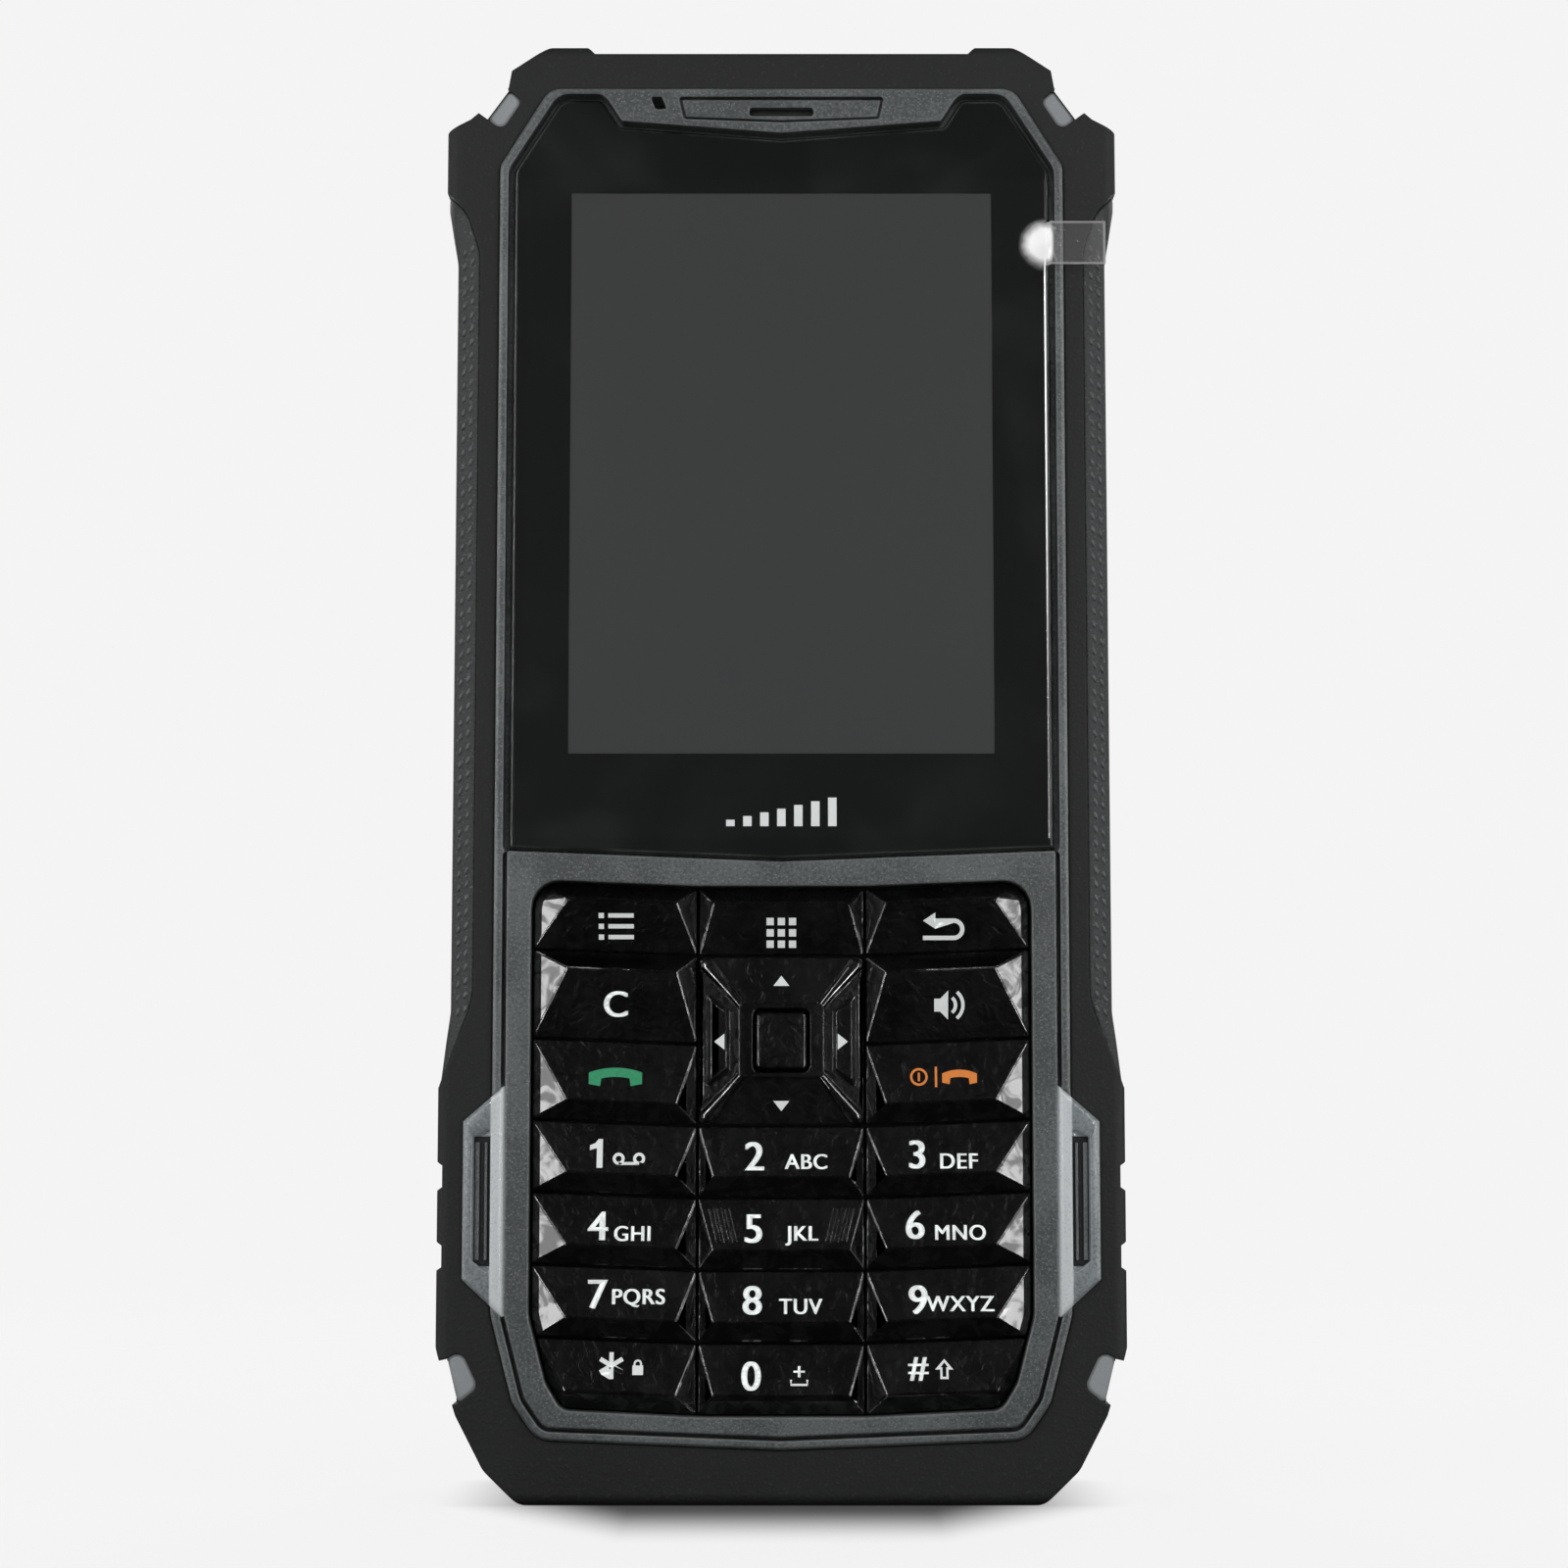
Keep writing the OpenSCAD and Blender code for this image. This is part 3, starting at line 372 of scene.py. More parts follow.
# The brackets' painted highlight: where the band ends across, in mm, and its colour.
BRACKET_HIGHLIGHT_BAND = (27.0, 27.2, (236, 241, 243))
SPECKLED = {
    # slot: dark, light and glint colour (flakes, and a painted highlight on edges), roughness,
    # and for the brackets their band of painted highlight and their glow of painted light
    "front_frame": ((92, 98, 99), (134, 140, 141), (206, 211, 212), 0.42),
    "bracket_silver": ((116, 122, 126), (144, 151, 155), (236, 240, 241), 0.3, BRACKET_HIGHLIGHT_BAND, 0.24),
}
LACQUERED = {
    # slot: colour, haze, length and depth of the waves in mm, roughness, index of the coat
    "key_black": ((6, 6, 6), (20, 21, 21), 1.3, 0.13, 0.3),
    "window_glass": ((10, 11, 13), (26, 28, 30), 9, 0.01, 0.08, 1.5),
}
METAL = {
    # slot: dark and light colour, roughness
    "steel": ((150, 153, 156), (196, 199, 201), 0.25),
    "screw_steel": ((98, 101, 104), (142, 145, 148), 0.32),
    "contact_gold": ((186, 142, 60), (226, 190, 104), 0.22),
}
FINISHES = {}
for make, rows in ((moulded, MOULDED), (speckled, SPECKLED), (lacquered, LACQUERED), (metal, METAL)):
    FINISHES.update({slot: make(slot, *row) for slot, row in rows.items()})
print(len(FINISHES), "finishes")

# %% [markdown]
# ## The lens and the screen behind it
# The lens is one clear plate.  Its border is printed black from behind, and the screen shows
# through the clear window in the middle.  With the screen off the window is a dark grey, with a
# painted shade that leaves it a little lighter at the bottom than at the top, so one material can
# show both: a mask in the plate's own coordinates tells window from border.
# Patches of the plate's rim are pale, where its ground edge catches the light.

# %% Lens material
BORDER = 2.0
FOOT_BORDER = 3.4
SOFT = 0.1


def lens_finish():
    finish = Finish("lens_black", {"Coat Roughness": 0.03, "Coat IOR": 1.5})
    low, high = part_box("display_module")
    centre = (low + high) / 2
    half_w = (high.x - low.x) / 2 - BORDER * MM
    z_low = low.z + FOOT_BORDER * MM
    z_high = high.z - BORDER * MM
    half_h = (z_high - z_low) / 2
    x, _, z = finish.axes()
    beside = abs(x - centre.x).ramp(half_w - SOFT * MM, half_w + SOFT * MM)
    beyond = abs(z - (z_low + z_high) / 2).ramp(half_h - SOFT * MM, half_h + SOFT * MM)
    window = (1 - beside) * (1 - beyond)
    grain = finish.noise(0.3, 2)
    smear = finish.noise(11, 4, 0.5).ramp(0.45, 0.8)
    edge = finish.round_edges(0.3) * finish.noise(9, 2).ramp(0.35, 0.6)
    border = finish.blend(smear, tint(32, 34, 34), tint(44, 46, 46))
    border = finish.blend(edge * 0.85, border, tint(190, 195, 196))
    # Painted shade: the screen is a little lighter at the bottom than at the top.
    screen = finish.blend(z.ramp(z_low, z_high), tint(45, 49, 50), tint(41, 44, 44))
    screen = finish.blend(grain * 0.35, screen, tint(52, 55, 56))
    finish.give({
        "Base Color": finish.blend(window, border, screen),
        "Roughness": 0.18 + 0.4 * window + 0.05 * smear,
        "Coat Weight": 1 - 0.6 * window,
    })
    finish.bump(finish.noise(7, 2), 0.01)
    print("screen window in mm:", round(2 * half_w / MM, 1), "by", round(2 * half_h / MM, 1))
    return finish.material


FINISHES["lens_black"] = lens_finish()

# %% [markdown]
# ## Softer edges
# Moulded parts have no knife edges.  Their small radii are what catches the light, and they
# matter more than any texture.  A part's mesh in the frame stays as it is, so a copy of it is
# merged, its flat faces are made whole, and a bevel modifier rounds every sharp edge.  The keys
# are cut like gems, so their bevels keep the flats flat: hardened normals leave all the turning
# to the bevel, where smooth shading would swell the whole key.

# %% Rounded copy of a part
def softened(node, width_mm, slide=True, segments=2, sharp=28, facets=False):
    piece = bpy.data.objects.new(node + "_piece", frame["nodes"][node].data.copy())
    bpy.context.collection.objects.link(piece)
    only(piece)
    bpy.ops.mesh.customdata_custom_splitnormals_clear()
    bpy.ops.object.mode_set(mode="EDIT")
    bpy.ops.mesh.select_all(action="SELECT")
    bpy.ops.mesh.remove_doubles(threshold=0.03 * MM)
    bpy.ops.mesh.dissolve_limited(angle_limit=math.radians(0.8))
    bpy.ops.mesh.quads_convert_to_tris(quad_method="BEAUTY", ngon_method="BEAUTY")
    bpy.ops.object.mode_set(mode="OBJECT")
    if width_mm:
        bevel = piece.modifiers.new("edge", "BEVEL")
        bevel.width = width_mm * MM
        bevel.segments = segments
        bevel.limit_method = "ANGLE"
        bevel.angle_limit = math.radians(sharp)
        bevel.use_clamp_overlap = False
        bevel.loop_slide = slide
        bevel.harden_normals = facets
        if facets:
            bpy.ops.object.shade_smooth()
        bpy.ops.object.modifier_apply(modifier=bevel.name)
    if not facets:
        bpy.ops.object.shade_smooth_by_angle(angle=math.radians(22))
    return hand_over(piece, FINISHES[SLOT_OF[node]], BODY_OF[node], SLOT_OF[node], node)


# Parts with a chamfer of their own are only merged, and the bevel in their finish rounds them.
# A fine bevel goes on the ridged key and on the rocker, whose faces are small.
KEYS = [node for node in BODY_OF if node.startswith("key_") and node != "key_ok"]
KEY_EDGE = {"key_5": 0.07}
CHAMFERED = ["bumper", "front_case", "rear_case", "display_lens", "corner_inserts"]
EDGES = {
    "keypad_frame": 0.12, "grip_left": 0.25, "grip_right": 0.25, "side_brackets": 0.08,
    "battery_cover": 0.12, "speaker_grille": 0.06, "rear_window": 0.1,
    "case_screws": 0.06, "cover_screw": 0.06, "key_ok": 0.1,
    "ptt_key": 0.12, "volume_key": 0.08, "usb_flap": 0.12, "jack_flap": 0.1,
}
pieces = {node: softened(node, 0) for node in CHAMFERED}
pieces.update({node: softened(node, width, width < 0.12) for node, width in EDGES.items()})
pieces.update({key: softened(key, KEY_EDGE.get(key, 0.15), sharp=8, facets=True) for key in KEYS})
pieces["nav_pad"] = softened("nav_pad", 0.05, slide=False, sharp=25, facets=True)
print(len(pieces), "parts with soft edges,", sum(len(p.data.polygons) for p in pieces.values()), "faces")

# %% [markdown]
# The parts inside keep the mesh they came with.  Their shape is right, and hardly anything of
# them shows, so all they take is the finish of their slot.

# %% Inner parts keep their mesh and take a finish
for node, part in frame["nodes"].items():
    part.data.materials.clear()
    part.data.materials.append(FINISHES[SLOT_OF[node]])
print(len(frame["nodes"]), "parts finished")

# %% [markdown]
# ## Printing on the keys
# Each legend is a thin print on a sloping key face.  A flat shape is drawn around its own
# middle, as text or as filled outlines, and made a mesh.  A ray from the front through each of
# its corners then finds the key's face, so the print follows the slope of the face.

# %% Flat shapes for the icons, in millimetres
def block(x0, z0, x1, z1):
    return [(x0, z0), (x1, z0), (x1, z1), (x0, z1)]


def arc(x, z, radius, start, end, steps=16):
    angles = [math.radians(start + (end - start) * k / steps) for k in range(steps + 1)]
    return [(x + radius * math.cos(a), z + radius * math.sin(a)) for a in angles]


def disc(x, z, radius):
    return arc(x, z, radius, 0, 345, 23)


def band(points, width):
    """Outline of a line of that width through the points."""
    left = []
    right = []
    for k, point in enumerate(points):
        before = Vector(points[max(k - 1, 0)])
        after = Vector(points[min(k + 1, len(points) - 1)])
        along = (after - before).normalized()
        across = Vector((-along.y, along.x)) * width / 2
        left.append(tuple(Vector(point) + across))
        right.append(tuple(Vector(point) - across))
    return left + right[::-1]


def ring(x, z, radius, width):
    return [disc(x, z, radius + width / 2), disc(x, z, radius - width / 2)]


def turned(loops, degrees):
    c, s = math.cos(math.radians(degrees)), math.sin(math.radians(degrees))
    return [[(x * c - z * s, x * s + z * c) for x, z in loop] for loop in loops]


def scaled(loops, across, upward):
    return [[(x * across, z * upward) for x, z in loop] for loop in loops]


# %% [markdown]
# The icons are outlines in millimetres around their own middle.  An outline inside another one
# is a hole.  The star's arms and the handset's arc come from a turn and an arc, so each shape
# has only the points that it needs.  The digit 1 is drawn too, because the built-in font has a
# plain bar for it.

# %% The icons
def handset():
    """A receiver lying across, with its two cups hanging down."""
    back = arc(0, -5.1, 6.2, 115, 65)
    inside = arc(0, -5.6, 5.6, 75.5, 104.5, 10)
    right_cup = [(2.62, -0.85), (1.5, -1.1), (1.4, -0.25)]
    left_cup = [(-1.4, -0.25), (-1.5, -1.1), (-2.62, -0.85)]
    return [back + right_cup + inside + left_cup]


ICONS = {
    "list": [block(-1.6, k - 0.24, -1.1, k + 0.24) for k in (-1, 0, 1)]
    + [block(-0.7, k - 0.2, 1.7, k + 0.2) for k in (-1, 0, 1)],
    "grid": [
        block(x - 0.34, z - 0.34, x + 0.34, z + 0.34)
        for x in (-1.05, 0, 1.05) for z in (-1.05, 0, 1.05)
    ],
    "back": [
        band([(-1.9, -0.85)] + arc(1.0, -0.05, 0.8, -90, 90) + [(-0.9, 0.75)], 0.4),
        [(-1.9, 0.75), (-0.75, 1.5), (-0.75, 0.0)],
    ],
    "speaker": [
        [(-1.5, -0.6), (-0.95, -0.6), (-0.2, -1.35), (-0.2, 1.35), (-0.95, 0.6), (-1.5, 0.6)],
        band(arc(-0.4, 0, 0.9, -50, 50, 8), 0.32),
        band(arc(-0.4, 0, 1.6, -50, 50, 8), 0.32),
    ],
    "call": scaled(handset(), 0.95, 0.78),
    "end": scaled(handset(), 0.62, 0.62),
    "power": ring(0, 0, 0.72, 0.22) + [block(-0.1, -0.4, 0.1, 0.4)],
    "divider": [block(-0.11, -0.95, 0.11, 0.95)],
    "post": ring(-0.95, 0, 0.42, 0.28) + ring(0.95, 0, 0.42, 0.28)
    + [block(-0.95, -0.57, 0.95, -0.3)],
    "star": [turned([block(-0.2, 0, 0.2, 1.2)], angle)[0] for angle in range(0, 360, 60)],
    "lock": [
        block(-0.5, -0.7, 0.5, 0.15),
        band([(-0.3, 0.1)] + arc(0, 0.3, 0.3, 180, 0, 8) + [(0.3, 0.1)], 0.18),
    ],
    "space": [band([(-0.75, 0.2), (-0.75, -0.25), (0.75, -0.25), (0.75, 0.2)], 0.2)],
    "shift": [
        [(0, 1.0), (-0.85, 0.05), (-0.38, 0.05), (-0.38, -0.8)]
        + [(0.38, -0.8), (0.38, 0.05), (0.85, 0.05)],
        [(0, 0.7), (-0.35, 0.25), (-0.18, 0.25), (-0.18, -0.6)]
        + [(0.18, -0.6), (0.18, 0.25), (0.35, 0.25)],
    ],
    "arrow": [[(0, 0.5), (-0.75, -0.45), (0.75, -0.45)]],
    "1": [
        [(0.05, -1.33), (0.6, -1.33), (0.6, 1.33), (0.2, 1.33)]
        + [(-0.1, 0.95), (-0.6, 0.75), (-0.6, 0.3), (0.05, 0.5)]
    ],
}
print(len(ICONS), "icons")


# %% [markdown]
# A print is a flat sheet with a real thickness.  The font is thin, and its own option for bolder
# strokes tears a few digits open, so three copies side by side make the strokes wider.

# %% Print a flat shape
PRINT_THICKNESS = 0.03
BOLD = 0.038
LETTER_GAP = 1.08


def flat_mesh(piece):
    """The curve or text object as a closed mesh around its own middle; returns its size."""
    only(piece)
    bpy.ops.object.convert(target="MESH")
    turn_outwards(piece, merge=1e-4)
    corners = [v.co.copy() for v in piece.data.vertices]
    low = Vector([min(c[k] for c in corners) for k in range(3)])
    high = Vector([max(c[k] for c in corners) for k in range(3)])
    piece.data.transform(Matrix.Translation(-(low + high) / 2))
    return high - low


def drawn(loops):
    """A flat object in millimetres from closed outlines."""
    curve = bpy.data.curves.new("icon", "CURVE")
    curve.dimensions = "2D"
    curve.fill_mode = "BOTH"
    curve.extrude = PRINT_THICKNESS / 2
    for loop in loops:
        spline = curve.splines.new("POLY")
        spline.points.add(len(loop) - 1)
        for point, (x, z) in zip(spline.points, loop):
            point.co = (x, z, 0, 1)
        spline.use_cyclic_u = True
    piece = bpy.data.objects.new("icon", curve)
    bpy.context.collection.objects.link(piece)
    flat_mesh(piece)
    return piece


def joined(parts, name):
    only(parts[0])
    for part in parts[1:]:
        part.select_set(True)
    bpy.ops.object.join()
    parts[0].name = name
    return parts[0]


def written(text, height):
    """A flat object in millimetres from letters of that height, made bold by shifted copies."""
    copies = []
    for shift in (-BOLD * height, 0, BOLD * height):
        bpy.ops.object.text_add(location=(0, 0, 0))
        piece = bpy.context.object
        piece.data.body = text
        piece.data.space_character = LETTER_GAP
        piece.data.extrude = PRINT_THICKNESS / 2
        size = flat_mesh(piece)
        scale = height / size.y
        piece.data.transform(Matrix.Diagonal((scale, scale, 1, 1)))
        piece.data.transform(Matrix.Translation((shift, 0, 0)))
        copies.append(piece)
    return joined(copies, "letters")


def laid(piece, target, x_mm, z_mm):
    """Drapes a flat object over the target's front, around that point; False if some hangs over."""
    missed = 0
    for vertex in piece.data.vertices:
        x, z = vertex.co.x + x_mm, vertex.co.y + z_mm
        hit, spot, _, _ = target.ray_cast(Vector((x * MM, -1, z * MM)), Vector((0, 1, 0)))
        missed += not hit
        lift = PRINT_THICKNESS + vertex.co.z
        vertex.co = Vector((x * MM, spot.y - lift * MM, z * MM))
    return not missed


# %% [markdown]
# The table below says what each key carries: an icon or letters, how far they sit from the
# middle of the key's column and of the key, how tall letters are (an icon has its own size), and
# which ink prints them.  Everything is in millimetres.

# %% What each key says
DIGIT = 2.6
LETTER = 1.38
LEGENDS = {
    "key_menu": [("list", 0.1, -0.7, 0, "white")],
    "key_apps": [("grid", 0, -1.05, 0, "white")],
    "key_back": [("back", -0.35, -0.7, 0, "white")],
    "key_clear": [("C", 0.1, -0.7, 2.4, "white")],
    "key_speaker": [("speaker", 0.15, -0.8, 0, "white")],
    "key_call": [("call", 0.1, 0.45, 0, "green")],
    "key_end": [
        ("power", -2.75, 0.45, 0, "orange"), ("divider", -1.15, 0.45, 0, "orange"),
        ("end", 1.05, 0.45, 0, "orange"),
    ],
    "key_1": [("1", -1.65, 0.5, 0, "white"), ("post", 1.4, 0, 0, "white")],
    "key_2": [("2", -2.5, 0.55, DIGIT, "white"), ("ABC", 2.3, 0.05, LETTER, "white")],
    "key_3": [("3", -2.95, 0.4, DIGIT, "white"), ("DEF", 0.95, -0.2, LETTER, "white")],
    "key_4": [("4", -1.45, 0.5, DIGIT, "white"), ("GHI", 1.75, -0.2, LETTER, "white")],
    "key_5": [("5", -2.6, 0.55, DIGIT, "white"), ("JKL", 1.9, -0.1, 1.28 * LETTER, "white")],
    "key_6": [("6", -3.15, 0.6, DIGIT, "white"), ("MNO", 1.05, -0.1, LETTER, "white")],
    "key_7": [("7", -1.45, 0.9, DIGIT, "white"), ("PQRS", 2.35, 0.55, 1.2 * LETTER, "white")],
    "key_8": [("8", -2.7, 0.65, DIGIT, "white"), ("TUV", 1.8, 0.1, LETTER, "white")],
    "key_9": [("9", -2.9, 0.4, DIGIT, "white"), ("WXYZ", 1.0, 0.05, LETTER, "white")],
    "key_star": [("star", -0.15, 1.0, 0, "white"), ("lock", 2.3, 0.85, 0, "white")],
    "key_0": [
        ("0", -2.8, 0.35, DIGIT, "white"), ("+", 1.65, 0.75, 1.0, "white"),
        ("space", 1.65, -0.25, 0, "white"),
    ],
    "key_hash": [("#", -2.9, 0.7, 2.1, "white"), ("shift", -0.5, 0.7, 0, "white")],
}
print(sum(len(row) for row in LEGENDS.values()), "legends")

# %% [markdown]
# The legends of a real keypad are lit from below, and here the ink glows a little as painted
# light that keeps it bright.  A patchy wear makes it paler and rougher in places.  One print per
# key and ink is joined into a piece, which rides on the key.

# %% The three inks
# The ink's glow is painted light.
INK_PAINTED_GLOW = 0.38


def ink(name, colour, faded):
    finish = Finish(name, {"Emission Color": colour, "Emission Strength": INK_PAINTED_GLOW})
    wear = finish.noise(0.5, 3).ramp(0.45, 0.75)
    finish.give({"Base Color": finish.blend(wear, colour, faded), "Roughness": 0.4 + 0.2 * wear})
    finish.bump(finish.noise(0.15, 2), 0.01)
    return finish.material


INKS = {
    "white": ink("white_ink", tint(240, 244, 243), tint(212, 216, 215)),
    "green": ink("green_ink", tint(31, 150, 100), tint(24, 118, 78)),
    "orange": ink("orange_ink", tint(232, 132, 44), tint(196, 108, 34)),
}


# %% Print every key
COLUMNS = [middle(key).x for key in ("key_1", "key_2", "key_3")]


def print_key(key, body):
    centre = middle(key)
    x0 = min(COLUMNS, key=lambda x: abs(x - centre.x)) / MM
    z0 = centre.z / MM
    by_ink = {}
    for what, dx, dz, height, colour in LEGENDS[key]:
        flat = drawn(ICONS[what]) if what in ICONS else written(what, height)
        if not laid(flat, pieces[key], x0 + dx, z0 + dz):
            print("no face under", what, "on", key)
        by_ink.setdefault(colour, []).append(flat)
    for colour, parts in by_ink.items():
        hand_over(joined(parts, f"{key}_{colour}_print"), INKS[colour], body, SLOT_OF[key])


for key in LEGENDS:
    print_key(key, BODY_OF[key])
print(len(LEGENDS), "keys printed")

# %% [markdown]
# The rocker has an arrow on each arm.  It is one icon, turned four ways and joined to one piece.

# %% Arrows on the rocker
nav = middle("nav_pad")
ARROWS = ((0, 5.6, 0), (0, -6.1, 180), (-5.8, -0.1, 90), (5.75, -0.1, -90))
arrows = []
for dx, dz, angle in ARROWS:
    arrow = drawn(turned(ICONS["arrow"], angle))
    laid(arrow, pieces["nav_pad"], dx, nav.z / MM + dz)
    arrows.append(arrow)
hand_over(joined(arrows, "nav_arrows"), INKS["white"], BODY_OF["nav_pad"], SLOT_OF["nav_pad"])
print(len(arrows), "arrows")

# %% [markdown]
# ## The film over the lens
# New phones wear a clear film with a pull tab.  It could be a flat card, but what shows of it is
# the lifted part, so it is a fine grid: its points rise towards the tab and along the right edge,
# and the tab runs out over the rim.  The film is almost clear.  What its curled parts would
# mirror is a small bright spot, which no lamp of this studio gives, so they glow instead: at
# the tab's root, up the right edge, and on the tab's border and creases.

# %% Film material
TAB_Z = 119.0
TAB_HALF = 2.1
TAB_END = 31.0
FILM_EDGE = 25.3
FILM_LOW = 61.9
FILM_TOP = 125.4


def film_finish():
    shader = {"Coat Weight": 1.0, "Coat Roughness": 0.08, "Base Color": (1, 1, 1, 1)}
    finish = Finish("clear_film", {**shader, "Emission Strength": 1.0})
    x, _, z = finish.axes()
    edge, middle_z = FILM_EDGE * MM, TAB_Z * MM
    across = abs(z - middle_z)
    tab = x.ramp(edge - 0.1 * MM, edge + 0.2 * MM)

    border = across.ramp((TAB_HALF - 0.3) * MM, (TAB_HALF - 0.1) * MM)
    border = border.highest(x.ramp((TAB_END - 0.35) * MM, (TAB_END - 0.15) * MM)) * tab

    crease = 1 - finish.cells(2.4, "DISTANCE_TO_EDGE").ramp(0.0, 0.05)
    crease = crease * tab * finish.noise(1.1, 2).ramp(0.5, 0.6)

    root = finish.distance((edge - 0.1 * MM, -11.2 * MM, middle_z))
    root = root + 0.6 * MM * (finish.noise(1.2, 2) - 0.5)
    glare = (1 - root.ramp(0.9 * MM, 2.7 * MM)) * (1 - x.ramp(edge + 0.3 * MM, edge + 1 * MM))

    curl = x.ramp(edge - 0.2 * MM, edge - 0.12 * MM) * (0.25 + 0.75 * z.ramp(70 * MM, 105 * MM))
    curl = curl * (1 - z.ramp(middle_z, middle_z + 1 * MM)) * (1 - tab)

    shine = glare.highest(curl * 0.8).highest(border * 0.45).highest(crease * 0.35)
    finish.give({
        "Alpha": (0.002 + 0.07 * tab).highest(shine),
        "Roughness": 0.2 + 0.2 * finish.noise(3, 2),
        "Emission Color": finish.blend(glare.highest(curl), (0, 0, 0, 1), (0.5, 0.5, 0.5, 1)),
    })
    finish.bump(finish.noise(2.5, 2), 0.03)
    return finish.material


# %% [markdown]
# The film and its tab are two sheets, joined into one piece.  A function gives the height over
# the lens at each point of a grid, and a solidify modifier gives the sheet its thickness.

# %% Film with its pull tab
LENS_GAP = 0.1
CURL_WIDTH = 0.4
CURL_SLOPE = 0.4
BULGE = 0.7
BULGE_RADIUS = 2.6


def film_height(x, z):
    """Height of the film over the lens, in mm, at a point in mm."""
    on_tab = x > FILM_EDGE
    curl = 0.0 if on_tab else max(0.0, x - (FILM_EDGE - CURL_WIDTH)) * CURL_SLOPE
    away = math.hypot(x - FILM_EDGE, (z - TAB_Z) * 0.9)
    bulge = BULGE * max(0.0, 1 - away / BULGE_RADIUS)
    over_rim = BULGE if x > FILM_EDGE + 0.3 else 0.0
    return LENS_GAP + max(curl, bulge, over_rim)


def film_sheet(name, x0, x1, z0, z1, columns, rows):
    bpy.ops.mesh.primitive_grid_add(x_subdivisions=columns, y_subdivisions=rows, size=1)
    sheet = bpy.context.object
    sheet.name = name
    lens_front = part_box("display_lens")[0].y
    for vertex in sheet.data.vertices:
        x = x0 + (vertex.co.x + 0.5) * (x1 - x0)
        z = z0 + (vertex.co.y + 0.5) * (z1 - z0)
        vertex.co = Vector((x * MM, lens_front - film_height(x, z) * MM, z * MM))
    solid = sheet.modifiers.new("thickness", "SOLIDIFY")
    solid.thickness = 0.06 * MM
    solid.offset = 0
    only(sheet)
    bpy.ops.object.modifier_apply(modifier=solid.name)
    turn_outwards(sheet)
    bpy.ops.object.shade_smooth_by_angle(angle=math.radians(40))
    return sheet


sheet = film_sheet("film_sheet", -FILM_EDGE, FILM_EDGE, FILM_LOW, FILM_TOP, 120, 150)
tab = film_sheet("film_tab", FILM_EDGE, TAB_END, TAB_Z - TAB_HALF, TAB_Z + TAB_HALF, 24, 16)
film = joined([sheet, tab], "lens_film")
hand_over(film, film_finish(), BODY_OF["display_lens"], SLOT_OF["display_lens"])
print("film:", len(film.data.polygons), "faces")

# %% [markdown]
# ## Pips on the grips
# The rubber strips carry two columns of small slanting pips.  Bump alone would leave the outline
# smooth, so each pip is a closed dome of twenty-four faces, set down where a ray from the front
# meets the strip.  It could be a modelled dome that is copied, but every pip tilts with the
# surface under it, and its few corners are quicker worked out than turned.

# %% One pip
PIP_SIDES = 8
PIP_RINGS = ((0.2, 0.42, -0.04), (0.13, 0.32, 0.1))  # half width, half length, lift
PIP_TOP = 0.14
PIP_FOOT = -0.04
PIP_LEAN = 0.3


def pip_corners(spot, normal, side):
    """Two rings, the top and the foot of a pip that stands on the spot."""
    across = normal.cross(Vector((0, 0, 1))).normalized()
    along = across.cross(normal)
    corners = []
    for width, length, lift in PIP_RINGS:
        for k in range(PIP_SIDES):
            angle = 2 * math.pi * k / PIP_SIDES
            v = length * math.sin(angle)
            u = width * math.cos(angle) + side * PIP_LEAN * v
            corners.append(spot + (across * u + along * v + normal * lift) * MM)
    return corners + [spot + normal * PIP_TOP * MM, spot + normal * PIP_FOOT * MM]


def pip_faces(first):
    """The faces of the pip whose corners start at that number."""
    top = first + 2 * PIP_SIDES
    faces = []
    for k in range(PIP_SIDES):
        a, b = first + k, first + (k + 1) % PIP_SIDES
        faces.append((a, b, b + PIP_SIDES, a + PIP_SIDES))
        faces.append((a + PIP_SIDES, b + PIP_SIDES, top))
        faces.append((b, a, top + 1))
    return faces


# %% [markdown]
# The columns run along the strip's outer side.  The second one is shifted up by a part of the
# pitch, and where the strip turns too far aside no pip is set.

# %% Pips set down along a grip
PIP_PITCH = 1.3
PIP_COLUMNS = ((0.72, 0.0), (1.46, 0.35))  # in from the waist, up from the row
WAIST = 1.1
PIP_START = 7
PIP_STOP = 5


def pips(side, grip):
    corners = []
    faces = []
    low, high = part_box(grip)
    outside = (high.x if side > 0 else -low.x) / MM
    z = low.z / MM + PIP_START
    while z < high.z / MM - PIP_STOP:
        for inwards, upwards in PIP_COLUMNS:
            start = Vector((side * (outside - WAIST - inwards) * MM, -1, (z + upwards) * MM))
            hit, spot, normal, _ = pieces[grip].ray_cast(start, Vector((0, 1, 0)))
            if hit and normal.y <= -0.3:
                faces += pip_faces(len(corners))
                corners += pip_corners(spot, normal, side)
        z += PIP_PITCH
    mesh = bpy.data.meshes.new(grip + "_pips")
    mesh.from_pydata(corners, [], faces)
    piece = bpy.data.objects.new(grip + "_pips", mesh)
    bpy.context.collection.objects.link(piece)
    turn_outwards(piece)
    bpy.ops.object.shade_smooth_by_angle(angle=math.radians(50))
    print(grip, len(piece.data.polygons) // (3 * PIP_SIDES), "pips")
    # The pips take a lighter copy of the grip's rubber: a painted highlight.
    hand_over(piece, FINISHES["pip_rubber_painted_highlight"], BODY_OF[grip], SLOT_OF[grip])


pips(-1, "grip_left")
pips(1, "grip_right")

# %% [markdown]
# ## Small things on the front and the back
# Each bracket has a long window.  Two ribs stand in it on a dark bed, a sheet of painted shade
# in the window's recess; all of them are slim boxes.
# The ribs' edges are rounded, because a rib this thin shows as its two lit edges.

